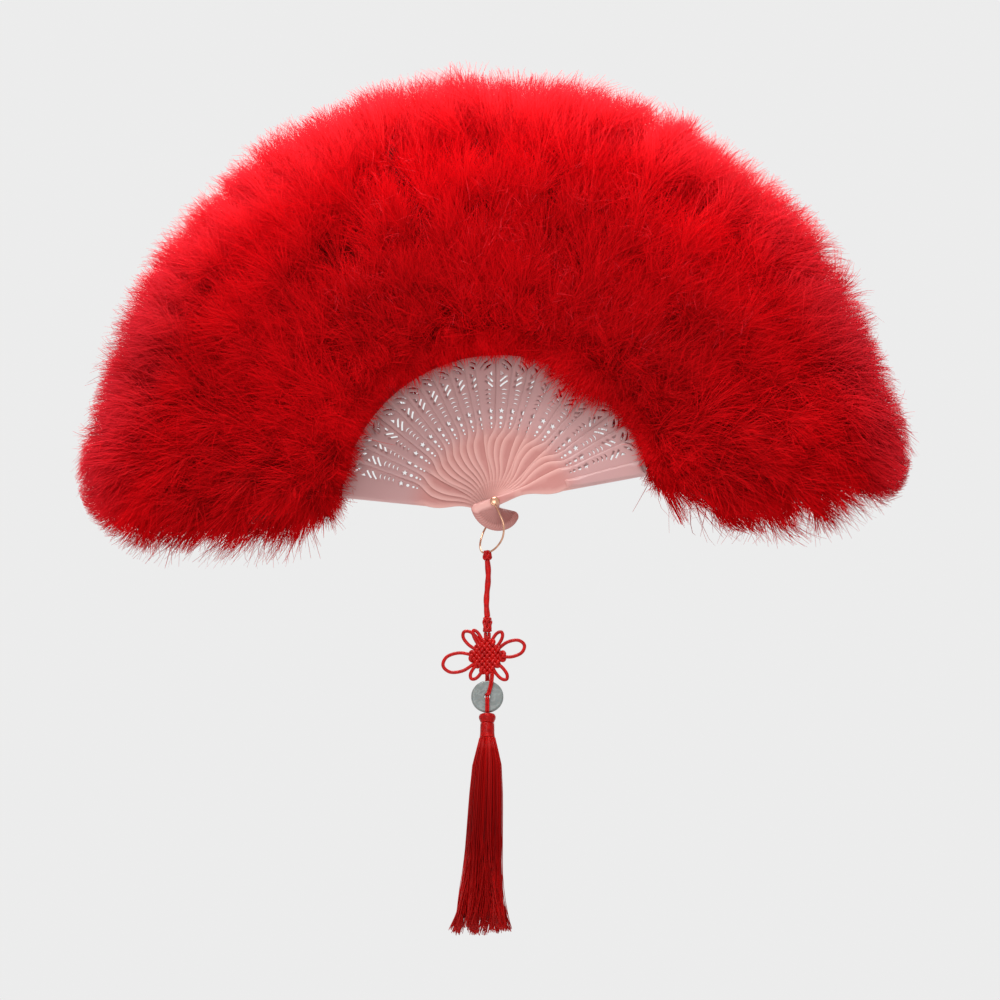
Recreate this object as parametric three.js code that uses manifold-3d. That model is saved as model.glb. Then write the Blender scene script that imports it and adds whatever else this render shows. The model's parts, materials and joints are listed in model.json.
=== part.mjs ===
// Folding fan: pierced sticks on one rivet, each carrying a feather plume, with a wire bail
// from which a cord, a woven knot, a stone ring and a tassel hang.
// Millimetres. The origin is the pivot in the middle of the stack: +X right, +Y back, +Z up.
import * as THREE from "three";
import { mergeVertices } from "three/addons/utils/BufferGeometryUtils.js";
import Module from "manifold-3d";

const wasm = await Module();
wasm.setup();
const { degToRad } = THREE.MathUtils;

// Sticks count from the left: the first is the back guard and the last the front guard.
const fan = {
  sticks: 23,
  spread: degToRad(141.3),
  frontAngle: degToRad(21.8), // of the front guard, above +X
  turned: [4, 12, 16, 17, 20], // inner sticks riveted in back to front
};

// One inner stick, pointing up: its left edge is the one that shows.
const stick = {
  thick: 0.9,
  gap: 0.15,
  holeRadius: 1.5,
  tailReach: 13.6,
  tailHalf: 3.1,
  neckAt: 12.4,
  neckHalf: 1.9,
  bulgeAt: 34,
  bulgeHalf: 6.4,
  backBulgeAt: 40,
  backHalf: 4.4,
  gorgeEnd: 47,
  bladeEnd: 86.5,
  bladeLap: 0.25, // how far the narrow edge passes the line half way to the next stick
  marginHalf: 7.8,
  corner: 1.2,
  archDrop: 8.5, // of the blade's rounded end, from the slat down to the hidden edge
  archBendShare: 0.8,
  slatHalf: 2.5,
  slatTipHalf: 1.5,
  length: 196,
};

const guard = {
  thick: 1.6,
  bulgeAt: 37,
  bulgeHalf: 8.2,
  bladeEnd: 83,
  edgeHalf: 17.2,
  stripStart: 40,
  stripHeight: 0.8,
  stripStartWidth: 5,
  stripEndWidth: 8.5,
  stripInset: 0.6,
};

// The pierced ornament: places along it are shares of its length, and across it of its half width.
const lace = {
  start: 44.8,
  end: 84,
  half: 2.3,
  dotRadius: 0.95,
  dotAtShares: [0, 0.056, 0.138],
  dotSizeShares: [0.58, 0.79, 1],
  starRadius: 1.75,
  starAtShare: 0.237,
  starInnerShare: 0.42,
  crescentAtShares: [0.34, 0.403, 0.466, 0.53],
  crescentHalfShares: [0.56, 0.65, 0.74, 0.83],
  crescentCentreShare: 0.3,
  crescentRise: 1.05,
  crescentBand: 0.62,
  slotWidth: 1.0,
  slotShares: [
    [[0.586, -0.78], [0.676, 0.96]],
    [[0.66, -0.83], [0.75, 0.78]],
  ],
  triangleShares: [[0.818, -0.87], [0.742, -0.78], [0.775, -0.1]],
  wedgeShares: [[0.925, -0.78], [0.828, 1.04]],
  wedgeRise: 0.95,
  wedgeBand: 1.35,
  arcShares: [[0.987, -0.6], [0.85, 2]],
  arcRise: 1.25,
  arcBand: 0.85,
};

const rivet = {
  radius: 1.25,
  sides: 10,
  headRadius: 2.1,
  headRise: 0.9,
  headRim: 0.3,
  burrThick: 0.8,
  burrClear: 0.1,
  endRise: 0.4,
};

const bail = {
  wire: 0.55,
  eyeClear: 0.25,
  faceClear: 0.4,
  sides: 6,
  steps: 22,
  drop: 26, // from the pivot to the middle of the wire at the bottom
  // Across and down as shares of the drop; in depth as a share of the eyes' distance from the middle.
  frontShares: [[0.008, 1, 0.077], [0.098, 1.05, 0.268], [0.187, 1.03, 0.512], [0.165, 0.78, 0.76]],
  underShares: [[0.025, 0.4, 0.935], [-0.155, 0, 1], [-0.275, -0.37, 0.93]],
  backShares: [[-0.31, -0.77, 0.73], [-0.245, -1.04, 0.447], [-0.118, -1.04, 0.22], [-0.008, -1, 0.077]],
};

// One plume: half depths are in Y, and reaches are from the pivot.
const plume = {
  start: 92,
  sideReach: 229,
  topReach: 246,
  halfDepth: 40,
  gap: 0.3,
  clear: 0.3,
  reachShares: [0, 0.18, 0.5, 0.84, 1], // from the start to the reach
  depthShares: [0.42, 0.75, 1, 0.8, 0.25],
  cornerShare: 0.86,
  tipShare: 0.5,
  lobeHalf: 74,
  lobeShares: [0.33, 0.74, 1, 0.86, 0.32],
  lobeSectionShares: [[0.5, 0.95], [0.85, 0.6], [1, 0]],
};

const ribbon = {
  at: 87.2,
  width: 4.2,
  thick: 0.3,
  clear: 1.2, // in front of the slats
  overhangShare: 0.3, // of a step, past the guards' middles
};

const pendant = {
  beadRadius: 2.9,
  wireClear: 0.35,
  cordRadius: 1.65,
  cordLength: 31,
  cordSides: 8,
  cordSteps: 6,
  cordSwayShare: 0.016, // of its length
  collarRadius: 2.9,
  collarHeight: 8.6,
  knotHalf: 11.2,
  knotHalfHeight: 12.9,
  knotThick: 5.6,
  knotBevel: 1.2,
  loopRoot: 3, // of the loop's ends, up into the knot
  earRadius: 0.95,
  earSides: 5,
  earSteps: 8,
  earShares: [
    [-2.08, -0.45, 0.48],
    [1.74, 0.54, 0.4],
    [-1.1, 1.16, 0.28],
    [0.66, 1.16, 0.2],
    [-0.74, -1.08, 0.22],
    [0.9, -1.1, 0.22],
  ],
  gap: 0.3,
};

const ring = {
  radius: 8.8,
  thick: 3,
  holeRadius: 1.6,
  bevel: 0.5,
  sides: 20,
  below: 9.6, // its middle under the knot's lower corner
};

const loop = {
  radius: 0.45,
  offset: 0.6, // of each loop's turn from the middle of the ring's hole
  clear: 0.35, // in front of and behind the ring
  shoulderShare: 0.9,
  shoulderRiseShare: 0.4,
  sides: 5,
  steps: 16,
};

const tassel = {
  capRadius: 4.7,
  capHeight: 5.2,
  capWaistShare: 0.8,
  neckRadius: 4.1,
  neckHeight: 7.8,
  neckWaistShare: 0.95,
  skirtHeight: 106,
  skirtTopRadius: 4.4,
  skirtEndRadius: 14.5,
  skirtShares: [[0, 0], [0.14, 0.36], [0.46, 0.5], [0.78, 0.72], [1, 1]],
  sides: 16,
  below: 0.4, // its cap under the ring's lower rim
};

const overrun = 2; // of every cutter
const sink = 0.3; // of a raised form into its plate

const materials = {
  gorge: { color: 0xd49a94, roughness: 0.45 },
  feather: { color: 0xd8101c, roughness: 0.95 },
  gold: { color: 0xd9a184, roughness: 0.25, metalness: 1 },
  cord: { color: 0xb81418, roughness: 0.75 },
  stone: { color: 0x9cb0a8, roughness: 0.3 },
  silk: { color: 0xc8141a, roughness: 0.55 },
  ribbon: { color: 0xa01018, roughness: 0.8 },
};
for (const name in materials) materials[name] = new THREE.MeshStandardMaterial(materials[name]);

const step = fan.spread / (fan.sticks - 1);
const halfStep = Math.tan(step / 2);
const layer = stick.thick + stick.gap;
const middle = (fan.sticks + 1) / 2;
const innerFace = (middle - 2) * layer + stick.thick / 2; // of the outermost inner stick
const guardMiddle = innerFace + stick.gap + guard.thick / 2;
const guardFace = guardMiddle + guard.thick / 2;

const angleOf = (n) => fan.frontAngle + (fan.sticks - n) * step;
const isGuard = (n) => n === 1 || n === fan.sticks;
const layerOf = (n) => (isGuard(n) ? Math.sign(middle - n) * guardMiddle : (middle - n) * layer);
const pad = (n) => String(n).padStart(2, "0");

const assembly = new THREE.Group();

function addMesh(name, geometry, material, parent = assembly) {
  const mesh = new THREE.Mesh(geometry, materials[material]);
  mesh.name = name;
  parent.add(mesh);
  return mesh;
}

function toSolid(geometry) {
  const bare = new THREE.BufferGeometry();
  bare.setAttribute("position", geometry.getAttribute("position"));
  bare.setIndex(geometry.getIndex());
  const merged = mergeVertices(bare);
  return new wasm.Manifold(
    new wasm.Mesh({
      numProp: 3,
      vertProperties: merged.getAttribute("position").array,
      triVerts: new Uint32Array(merged.getIndex().array),
    }),
  );
}

function toGeometry(solid) {
  const mesh = solid.getMesh();
  const geometry = new THREE.BufferGeometry();
  geometry.setAttribute("position", new THREE.BufferAttribute(mesh.vertProperties, 3));
  geometry.setIndex(new THREE.BufferAttribute(mesh.triVerts, 1));
  return geometry;
}

// Skins rings of equally many points, wound anticlockwise seen from the last ring, and caps both ends.
function loft(rings) {
  const around = rings[0].length;
  const last = (rings.length - 1) * around;
  const faces = [];
  for (let r = 0; r < rings.length - 1; r++) {
    for (let i = 0; i < around; i++) {
      const a = r * around + i;
      const b = r * around + ((i + 1) % around);
      faces.push(a, b, b + around, a, b + around, a + around);
    }
  }
  for (let i = 1; i < around - 1; i++) {
    faces.push(0, i + 1, i, last, last + i, last + i + 1);
  }
  return new THREE.BufferGeometry().setFromPoints(rings.flat()).setIndex(faces);
}

// A plate from a shape drawn with x across and y along the stick: it stands in XZ, centred on Y.
function plate(shape, thick) {
  const geometry = new THREE.ExtrudeGeometry(shape, { depth: thick, bevelEnabled: false });
  return geometry.translate(0, 0, -thick / 2).rotateX(Math.PI / 2);
}

// An edge that runs along the stick at both ends and swings across between them.
function swing(fromX, fromY, toX, toY) {
  const easeShare = 0.45;
  const ease = (toY - fromY) * easeShare;
  const curve = new THREE.CubicBezierCurve(
    new THREE.Vector2(fromX, fromY),
    new THREE.Vector2(fromX, fromY + ease),
    new THREE.Vector2(toX, toY - ease),
    new THREE.Vector2(toX, toY),
  );
  return curve.getPoints(3);
}

function circlePoints(x, y, radius, sides, turn = 0) {
  return Array.from({ length: sides }, (_, i) => {
    const angle = turn + (i * 2 * Math.PI) / sides;
    return new THREE.Vector2(x + radius * Math.cos(angle), y + radius * Math.sin(angle));
  });
}

// The narrow edge just passes the line half way to the next stick, so that neighbours always lap.
const narrowHalf = (along) => along * halfStep + stick.bladeLap;

function tailPoints() {
  const centre = -(stick.tailReach - stick.tailHalf);
  const arc = [0, 1, 2, 3, 4].map((i) => {
    const angle = -(i * Math.PI) / 4;
    return new THREE.Vector2(
      stick.tailHalf * Math.cos(angle),
      centre + stick.tailHalf * Math.sin(angle),
    );
  });
  return arc;
}

function slatPoints(base) {
  const { slatHalf, slatTipHalf, length } = stick;
  return [
    new THREE.Vector2(-slatHalf, base),
    new THREE.Vector2(-slatTipHalf, length),
    new THREE.Vector2(slatTipHalf, length),
    new THREE.Vector2(slatHalf, base),
  ];
}

// The blade's end rounds down from the slat to the edge that the next stick hides.
function archedEnd() {
  const { slatHalf, bladeEnd, marginHalf, archDrop, archBendShare } = stick;
  const arch = new THREE.QuadraticBezierCurve(
    new THREE.Vector2(slatHalf, bladeEnd),
    new THREE.Vector2(marginHalf * archBendShare, bladeEnd),
    new THREE.Vector2(marginHalf, bladeEnd - archDrop),
  );
  return arch.getPoints(4).slice(1);
}

const hiddenGorge = () =>
  swing(stick.backHalf, stick.backBulgeAt, stick.neckHalf, stick.neckAt);

function stickOutline() {
  const { neckHalf, neckAt, bulgeHalf, bulgeAt, gorgeEnd, bladeEnd, corner } = stick;
  const endHalf = narrowHalf(bladeEnd);
  return [
    ...swing(-neckHalf, neckAt, -bulgeHalf, bulgeAt),
    ...swing(-bulgeHalf, bulgeAt, -narrowHalf(gorgeEnd), gorgeEnd).slice(1),
    new THREE.Vector2(-endHalf, bladeEnd - corner),
    new THREE.Vector2(-endHalf + corner, bladeEnd),
    ...slatPoints(bladeEnd),
    ...archedEnd(),
    ...hiddenGorge(),
    ...tailPoints(),
  ];
}

// A guard keeps a plain strip outside the ornament, ends square and is narrow on its inner side.
function guardOutline() {
  const { bulgeHalf, bulgeAt, bladeEnd, edgeHalf } = guard;
  const innerHalf = narrowHalf(stick.bladeEnd);
  return [
    ...swing(-stick.neckHalf, stick.neckAt, -bulgeHalf, bulgeAt),
    new THREE.Vector2(-edgeHalf, bladeEnd),
    ...slatPoints(stick.bladeEnd),
    new THREE.Vector2(innerHalf - stick.corner, stick.bladeEnd),
    new THREE.Vector2(innerHalf, stick.bladeEnd - stick.corner),
    new THREE.Vector2(narrowHalf(stick.gorgeEnd), stick.gorgeEnd),
    ...hiddenGorge(),
    ...tailPoints(),
  ];
}

function stripOutline() {
  const { bulgeHalf, bulgeAt, bladeEnd, edgeHalf, stripStart, stripInset } = guard;
  const slope = (edgeHalf - bulgeHalf) / (bladeEnd - bulgeAt);
  const startEdge = -(bulgeHalf + (stripStart - bulgeAt) * slope) + stripInset;
  const endEdge = -edgeHalf + stripInset;
  const end = bladeEnd - stripInset;
  return [
    new THREE.Vector2(startEdge, stripStart),
    new THREE.Vector2(endEdge, end),
    new THREE.Vector2(endEdge + guard.stripEndWidth, end),
    new THREE.Vector2(startEdge + guard.stripStartWidth, stripStart),
  ];
}

// Places in the ornament, from a share of its length and a share of its half width.
const laceAt = (along, across = 0) =>
  new THREE.Vector2(across * lace.half, THREE.MathUtils.lerp(lace.start, lace.end, along));

// A slot with square ends between two places.
function slotPoints([from, to], width) {
  const a = laceAt(...from);
  const b = laceAt(...to);
  const side = b.clone().sub(a).normalize();
  side.set(-side.y, side.x).multiplyScalar(width / 2);
  return [a.clone().add(side), b.clone().add(side), b.clone().sub(side), a.clone().sub(side)];
}

// A crescent between two places: both edges bow to the left of the line from a to b.
function bowPoints(a, b, rise, band) {
  const side = b.clone().sub(a).normalize();
  side.set(-side.y, side.x);
  const centre = a.clone().add(b).multiplyScalar(0.5);
  const bow = (height) => centre.clone().addScaledVector(side, 2 * height);
  const outer = new THREE.QuadraticBezierCurve(a, bow(rise), b).getPoints(3);
  const inner = new THREE.QuadraticBezierCurve(b, bow(rise - band), a).getPoints(2);
  return [...outer, inner[1]];
}

function starPoints() {
  const centre = laceAt(lace.starAtShare);
  return Array.from({ length: 10 }, (_, i) => {
    const radius = lace.starRadius * (i % 2 ? lace.starInnerShare : 1);
    const angle = Math.PI / 2 + (i * Math.PI) / 5;
    return new THREE.Vector2(
      centre.x + radius * Math.cos(angle),
      centre.y + radius * Math.sin(angle),
    );
  });
}

function laceHoles() {
  const dots = lace.dotAtShares.map((share, i) => {
    const centre = laceAt(share);
    return circlePoints(centre.x, centre.y, lace.dotRadius * lace.dotSizeShares[i], 6);
  });
  const crescents = lace.crescentAtShares.map((share, i) => {
    const half = lace.crescentHalfShares[i];
    const right = laceAt(share, lace.crescentCentreShare + half);
    const left = laceAt(share, lace.crescentCentreShare - half);
    return bowPoints(left, right, lace.crescentRise, lace.crescentBand);
  });
  const [wedgeFrom, wedgeTo] = lace.wedgeShares.map((place) => laceAt(...place));
  const [arcFrom, arcTo] = lace.arcShares.map((place) => laceAt(...place));
  return [
    ...dots,
    starPoints(),
    ...crescents,
    ...lace.slotShares.map((ends) => slotPoints(ends, lace.slotWidth)),
    lace.triangleShares.map((place) => laceAt(...place)),
    bowPoints(wedgeFrom, wedgeTo, lace.wedgeRise, lace.wedgeBand),
    bowPoints(arcFrom, arcTo, lace.arcRise, lace.arcBand),
  ];
}

// The outline has to run anticlockwise, or ExtrudeGeometry leaves the holes as they are wound.
function piercedShape(outline) {
  const shape = new THREE.Shape(outline.reverse());
  shape.holes = laceHoles().map((points) => new THREE.Path(points));
  shape.holes.push(new THREE.Path(circlePoints(0, 0, stick.holeRadius, rivet.sides)));
  return shape;
}

const stickGeometry = plate(piercedShape(stickOutline()), stick.thick);

// The raised strip lies on the guard's outer face, which is the back of the back guard.
function guardGeometry() {
  const base = toSolid(plate(piercedShape(guardOutline()), guard.thick));
  const strip = plate(new THREE.Shape(stripOutline()), guard.stripHeight + sink);
  strip.translate(0, guard.thick / 2 + (guard.stripHeight - sink) / 2, 0);
  return toGeometry(base.add(toSolid(strip)));
}

// Each stick turns about the rivet in its own layer; a turned one also faces the other way.
function addSticks() {
  const guardShape = guardGeometry();
  for (let n = 1; n <= fan.sticks; n++) {
    const holder = new THREE.Group();
    holder.position.y = layerOf(n);
    holder.rotation.y = Math.PI / 2 - angleOf(n);
    assembly.add(holder);
    const name = n === 1 ? "back_guard" : n === fan.sticks ? "front_guard" : `stick_${pad(n)}`;
    const mesh = addMesh(name, isGuard(n) ? guardShape : stickGeometry, "gorge", holder);
    if (fan.turned.includes(n) || n === fan.sticks) mesh.rotation.z = Math.PI;
  }
}

// A plume's reach grows from the sides of the fan to its top.
function reachOf(n) {
  const up = Math.sin(angleOf(n)) ** 2;
  return THREE.MathUtils.lerp(plume.sideReach, plume.topReach, up);
}

// Six points round a wedge between its two neighbours, or eight where a lobe runs past a guard.
function plumeRing(n, r) {
  const reach = reachOf(n);
  const last = plume.reachShares.length - 1;
  const along = THREE.MathUtils.lerp(plume.start, reach, plume.reachShares[r]);
  const depth = plume.halfDepth * plume.depthShares[r];
  const side = (along * halfStep - plume.gap / 2) * (r === last ? plume.tipShare : 1);
  const flat = depth * plume.cornerShare;
  const at = (x, y) => new THREE.Vector3(x, y, along);
  if (!isGuard(n)) {
    return [
      at(-side, -flat),
      at(0, -depth),
      at(side, -flat),
      at(side, flat),
      at(0, depth),
      at(-side, flat),
    ];
  }
  const lobe = plume.lobeHalf * plume.lobeShares[r];
  const front = plume.lobeSectionShares.map(([x, y]) => at(-lobe * x, -depth * y));
  const back = front.slice(0, -1).map((point) => at(point.x, -point.y));
  const ringOfLeft = [
    ...front.reverse(),
    at(0, -depth),
    at(side, -flat),
    at(side, flat),
    at(0, depth),
    ...back,
  ];
  if (n === 1) return ringOfLeft;
  return ringOfLeft.map((point) => at(-point.x, point.y)).reverse();
}

// The pocket that the stick's slat stands in.
function slatPocket(n) {
  const thick = (isGuard(n) ? guard.thick : stick.thick) + 2 * plume.clear;
  const at = (half, along) => [
    new THREE.Vector2(-half - plume.clear, along),
    new THREE.Vector2(half + plume.clear, along),
  ];
  const [lowLeft, lowRight] = at(stick.slatHalf, plume.start - overrun);
  const [highLeft, highRight] = at(stick.slatTipHalf, stick.length + plume.clear);
  const shape = new THREE.Shape([lowLeft, lowRight, highRight, highLeft]);
  return plate(shape, thick).translate(0, layerOf(n), 0);
}

// A strip wound in front of the slats: it steps back one layer for each stick.
function ribbonGeometry() {
  const first = 1 - ribbon.overhangShare;
  const last = fan.sticks + ribbon.overhangShare;
  const rings = Array.from({ length: fan.sticks }, (_, i) => {
    const n = THREE.MathUtils.lerp(first, last, i / (fan.sticks - 1));
    const angle = angleOf(n);
    const back = (middle - n) * layer - stick.thick / 2 - ribbon.clear;
    const at = (radius, y) =>
      new THREE.Vector3(radius * Math.cos(angle), y, radius * Math.sin(angle));
    const high = ribbon.at + ribbon.width;
    return [
      at(ribbon.at, back - ribbon.thick),
      at(ribbon.at, back),
      at(high, back),
      at(high, back - ribbon.thick),
    ];
  });
  return loft(rings);
}

function addPlumes() {
  for (let n = 1; n <= fan.sticks; n++) {
    const body = loft(plume.reachShares.map((_, r) => plumeRing(n, r)));
    const cut = toSolid(body).subtract(toSolid(slatPocket(n)));
    const mesh = addMesh(`plume_${pad(n)}`, toGeometry(cut), "feather");
    mesh.rotation.y = Math.PI / 2 - angleOf(n);
  }
  addMesh("spread_ribbon", ribbonGeometry(), "ribbon");
}

const eyeMiddle = guardFace + bail.faceClear + bail.wire;
const headFace = eyeMiddle + bail.wire + bail.faceClear;

// The rivet's shank passes the stack and both eyes of the bail; its tail is spread over a burr.
function addRivet() {
  const burrFace = headFace + rivet.burrThick;
  const profile = [
    [0, -headFace - rivet.headRise],
    [rivet.headRadius / 2, -headFace - (rivet.headRise + rivet.headRim) / 2],
    [rivet.headRadius, -headFace - rivet.headRim],
    [rivet.headRadius, -headFace],
    [rivet.radius, -headFace],
    [rivet.radius, burrFace],
    [0, burrFace + rivet.endRise],
  ];
  addMesh("rivet", lathe(profile, rivet.sides), "gold");
  const inner = rivet.radius + rivet.burrClear;
  const burr = [
    [inner, headFace],
    [rivet.headRadius, headFace],
    [rivet.headRadius, burrFace],
    [inner, burrFace],
    [inner, headFace],
  ];
  addMesh("rivet_burr", lathe(burr, rivet.sides), "gold");
}

// Turned about Y from pairs of radius and height, which run upwards on the outside.
function lathe(profile, sides) {
  return new THREE.LatheGeometry(
    profile.map(([radius, height]) => new THREE.Vector2(radius, height)),
    sides,
  );
}

// The bail's legs bow apart and meet under the tails.
function bailPath() {
  const shares = [...bail.frontShares, ...bail.underShares, ...bail.backShares];
  const points = shares.map(
    ([across, front, down]) =>
      new THREE.Vector3(across * bail.drop, -front * eyeMiddle, -down * bail.drop),
  );
  return new THREE.CatmullRomCurve3(points);
}

function sweep(path, radius, sides, steps) {
  const section = new THREE.Shape(circlePoints(0, 0, radius, sides));
  return new THREE.ExtrudeGeometry(section, { steps, extrudePath: path, bevelEnabled: false });
}

function addBail() {
  const inner = rivet.radius + bail.eyeClear;
  const outer = inner + 2 * bail.wire;
  const eye = [
    [inner, -bail.wire],
    [outer, -bail.wire],
    [outer, bail.wire],
    [inner, bail.wire],
    [inner, -bail.wire],
  ];
  let solid = toSolid(sweep(bailPath(), bail.wire, bail.sides, bail.steps));
  for (const side of [-1, 1]) {
    solid = solid.add(toSolid(lathe(eye, rivet.sides).translate(0, side * eyeMiddle, 0)));
  }
  addMesh("bail", toGeometry(solid), "gold");
}

// A bead on the wire, and everything below it on one plumb line.
const hangX = bail.drop * bail.underShares[1][0];
const beadZ = -bail.drop - pendant.beadRadius / 2;
const cordTop = beadZ - pendant.beadRadius - pendant.gap;
const cordEnd = cordTop - pendant.cordLength;
const collarTop = cordEnd - pendant.gap;
const knotTop = collarTop - pendant.collarHeight - pendant.gap;
const knotZ = knotTop - pendant.knotHalfHeight;
const knotEnd = knotZ - pendant.knotHalfHeight;
const ringZ = knotEnd - ring.below;
const capTop = ringZ - ring.radius - tassel.below;

// Turned about Z through the plumb line from pairs of radius and height under a top.
function turned(profile, top, sides) {
  return lathe(profile, sides)
    .rotateX(Math.PI / 2)
    .translate(hangX, 0, top);
}

function beadProfile(radius, height) {
  const shares = [[0, 0], [0.72, 0.15], [1, 0.5], [0.72, 0.85], [0, 1]];
  return shares.map(([across, down]) => [radius * across, -height * (1 - down)]);
}

function addCord() {
  const bead = turned(beadProfile(pendant.beadRadius, 2 * pendant.beadRadius), 0, 10);
  bead.translate(0, 0, beadZ + pendant.beadRadius);
  const wireHole = sweep(bailPath(), bail.wire + pendant.wireClear, bail.sides, bail.steps);
  addMesh("cord_bead", toGeometry(toSolid(bead).subtract(toSolid(wireHole))), "cord");

  const route = Array.from({ length: 5 }, (_, i) => {
    const share = i / 4;
    const sway = pendant.cordLength * pendant.cordSwayShare * Math.sin(share * 2 * Math.PI);
    return new THREE.Vector3(hangX + sway, 0, cordTop - share * pendant.cordLength);
  });
  const cord = sweep(
    new THREE.CatmullRomCurve3(route),
    pendant.cordRadius,
    pendant.cordSides,
    pendant.cordSteps,
  );
  addMesh("hang_cord", cord, "cord");
  const collar = turned(beadProfile(pendant.collarRadius, pendant.collarHeight), collarTop, 10);
  addMesh("cord_collar", collar, "cord");
}

// One ear of the knot: an open turn of cord whose ends are buried in the knot's body.
function earSolid([tipX, tipZ, width]) {
  const half = pendant.knotHalf;
  const tip = new THREE.Vector3(tipX * half, 0, tipZ * half);
  const side = new THREE.Vector3(-tip.z, 0, tip.x).normalize().multiplyScalar(width * half);
  const turnShares = [[0.3, 0.4], [0.72, 1], [1, 0], [0.72, -1], [0.3, -0.4]];
  const path = new THREE.CatmullRomCurve3(
    turnShares.map(([out, across]) => tip.clone().multiplyScalar(out).addScaledVector(side, across)),
  );
  return toSolid(sweep(path, pendant.earRadius, pendant.earSides, pendant.earSteps));
}

// A thin loop in the YZ plane that turns in the ring's hole: it goes up from there, or down.
function ringLoop(end, direction) {
  const turn = ringZ + direction * loop.offset;
  const bend = direction * (ring.holeRadius - loop.offset);
  const out = ring.thick / 2 + loop.clear + loop.radius;
  const half = [
    [-out, end],
    [-out, (end + turn) / 2],
    [-out, turn + bend],
    [-out * loop.shoulderShare, turn + bend * loop.shoulderRiseShare],
    [-out / 2, turn],
  ];
  const back = half.map(([y, z]) => [-y, z]).reverse();
  const points = [...half, ...back].map(([y, z]) => new THREE.Vector3(hangX, y, z));
  return sweep(new THREE.CatmullRomCurve3(points), loop.radius, loop.sides, loop.steps);
}

function addKnot() {
  const { knotHalf, knotHalfHeight, knotThick, knotBevel } = pendant;
  const diamond = new THREE.Shape([
    new THREE.Vector2(0, -knotHalfHeight),
    new THREE.Vector2(knotHalf, 0),
    new THREE.Vector2(0, knotHalfHeight),
    new THREE.Vector2(-knotHalf, 0),
  ]);
  const body = new THREE.ExtrudeGeometry(diamond, {
    depth: knotThick - 2 * knotBevel,
    bevelThickness: knotBevel,
    bevelSize: knotBevel,
    bevelOffset: -knotBevel,
    bevelSegments: 1,
  });
  body.translate(0, 0, knotBevel - knotThick / 2).rotateX(Math.PI / 2);
  let solid = toSolid(body);
  for (const ear of pendant.earShares) solid = solid.add(earSolid(ear));
  solid = solid.translate([hangX, 0, knotZ]);
  solid = solid.add(toSolid(ringLoop(knotEnd + pendant.loopRoot, 1)));
  addMesh("endless_knot", toGeometry(solid), "cord");
}

function addRing() {
  const { radius, thick, holeRadius, bevel } = ring;
  const face = thick / 2;
  const profile = [
    [holeRadius, -face],
    [radius - bevel, -face],
    [radius, 0],
    [radius - bevel, face],
    [holeRadius, face],
    [holeRadius, -face],
  ];
  addMesh("stone_ring", lathe(profile, ring.sides), "stone").position.set(hangX, 0, ringZ);
}

function addTassel() {
  const { capRadius, capHeight, neckRadius, neckHeight, sides } = tassel;
  addMesh("tassel_loop", ringLoop(capTop + pendant.gap, -1), "cord");
  const barrel = (radius, height, waistShare) => [
    [0, -height],
    [radius * waistShare, -height],
    [radius, -height / 2],
    [radius * waistShare, 0],
    [0, 0],
  ];
  const neckTop = capTop - capHeight - pendant.gap;
  const skirtTop = neckTop - neckHeight - pendant.gap;
  const cap = barrel(capRadius, capHeight, tassel.capWaistShare);
  const neck = barrel(neckRadius, neckHeight, tassel.neckWaistShare);
  addMesh("tassel_cap", turned(cap, capTop, sides), "cord");
  addMesh("tassel_neck", turned(neck, neckTop, sides), "cord");
  const skirt = tassel.skirtShares.map(([down, out]) => [
    THREE.MathUtils.lerp(tassel.skirtTopRadius, tassel.skirtEndRadius, out),
    -down * tassel.skirtHeight,
  ]);
  const profile = [[0, 0], ...skirt, [0, -tassel.skirtHeight]].reverse();
  addMesh("tassel_skirt", turned(profile, skirtTop, sides), "silk");
}

addSticks();
addPlumes();
addRivet();
addBail();
addCord();
addKnot();
addRing();
addTassel();

export default assembly;
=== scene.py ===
# Red feather fan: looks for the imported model. Metres, with small sizes written as millimetres.
import json
import math

import bpy
import numpy as np
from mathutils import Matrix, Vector
from mathutils.geometry import delaunay_2d_cdt


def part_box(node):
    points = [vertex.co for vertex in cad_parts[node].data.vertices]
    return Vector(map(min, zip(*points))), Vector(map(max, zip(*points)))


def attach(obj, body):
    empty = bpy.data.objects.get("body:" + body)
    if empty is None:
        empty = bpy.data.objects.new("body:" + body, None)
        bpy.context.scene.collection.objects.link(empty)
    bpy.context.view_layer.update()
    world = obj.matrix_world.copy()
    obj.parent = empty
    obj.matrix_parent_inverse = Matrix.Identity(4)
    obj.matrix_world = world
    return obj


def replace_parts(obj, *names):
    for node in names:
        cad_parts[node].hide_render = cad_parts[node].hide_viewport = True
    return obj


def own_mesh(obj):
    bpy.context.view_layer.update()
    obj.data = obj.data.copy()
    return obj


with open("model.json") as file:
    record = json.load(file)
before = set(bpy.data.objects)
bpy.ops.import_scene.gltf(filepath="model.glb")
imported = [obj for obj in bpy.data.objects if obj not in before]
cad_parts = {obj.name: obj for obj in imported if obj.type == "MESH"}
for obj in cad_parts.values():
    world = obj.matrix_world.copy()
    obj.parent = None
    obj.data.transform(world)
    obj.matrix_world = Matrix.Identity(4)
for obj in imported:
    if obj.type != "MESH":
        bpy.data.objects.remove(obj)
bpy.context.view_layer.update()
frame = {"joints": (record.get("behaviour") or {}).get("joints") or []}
mm = 0.001
tiny = 1e-9  # keeps a division by a length of zero from failing

# the view looks up at the fan from a little below its rivet
cameraSettings = {
    "aim": (0.0029, 0.0, 0.0037),
    "distance": 3.0,
    "elevation": -12.5,  # degrees
    "lens": 196.4,
    "sensor": 36.0,
}


def addObject(name, data, at=(0, 0, 0), facing=None):
    made = bpy.data.objects.new(name, data)
    bpy.context.scene.collection.objects.link(made)
    made.location = at
    if facing is not None:
        made.rotation_mode = "QUATERNION"
        made.rotation_quaternion = facing.to_track_quat("-Z", "Y")
    return made


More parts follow.
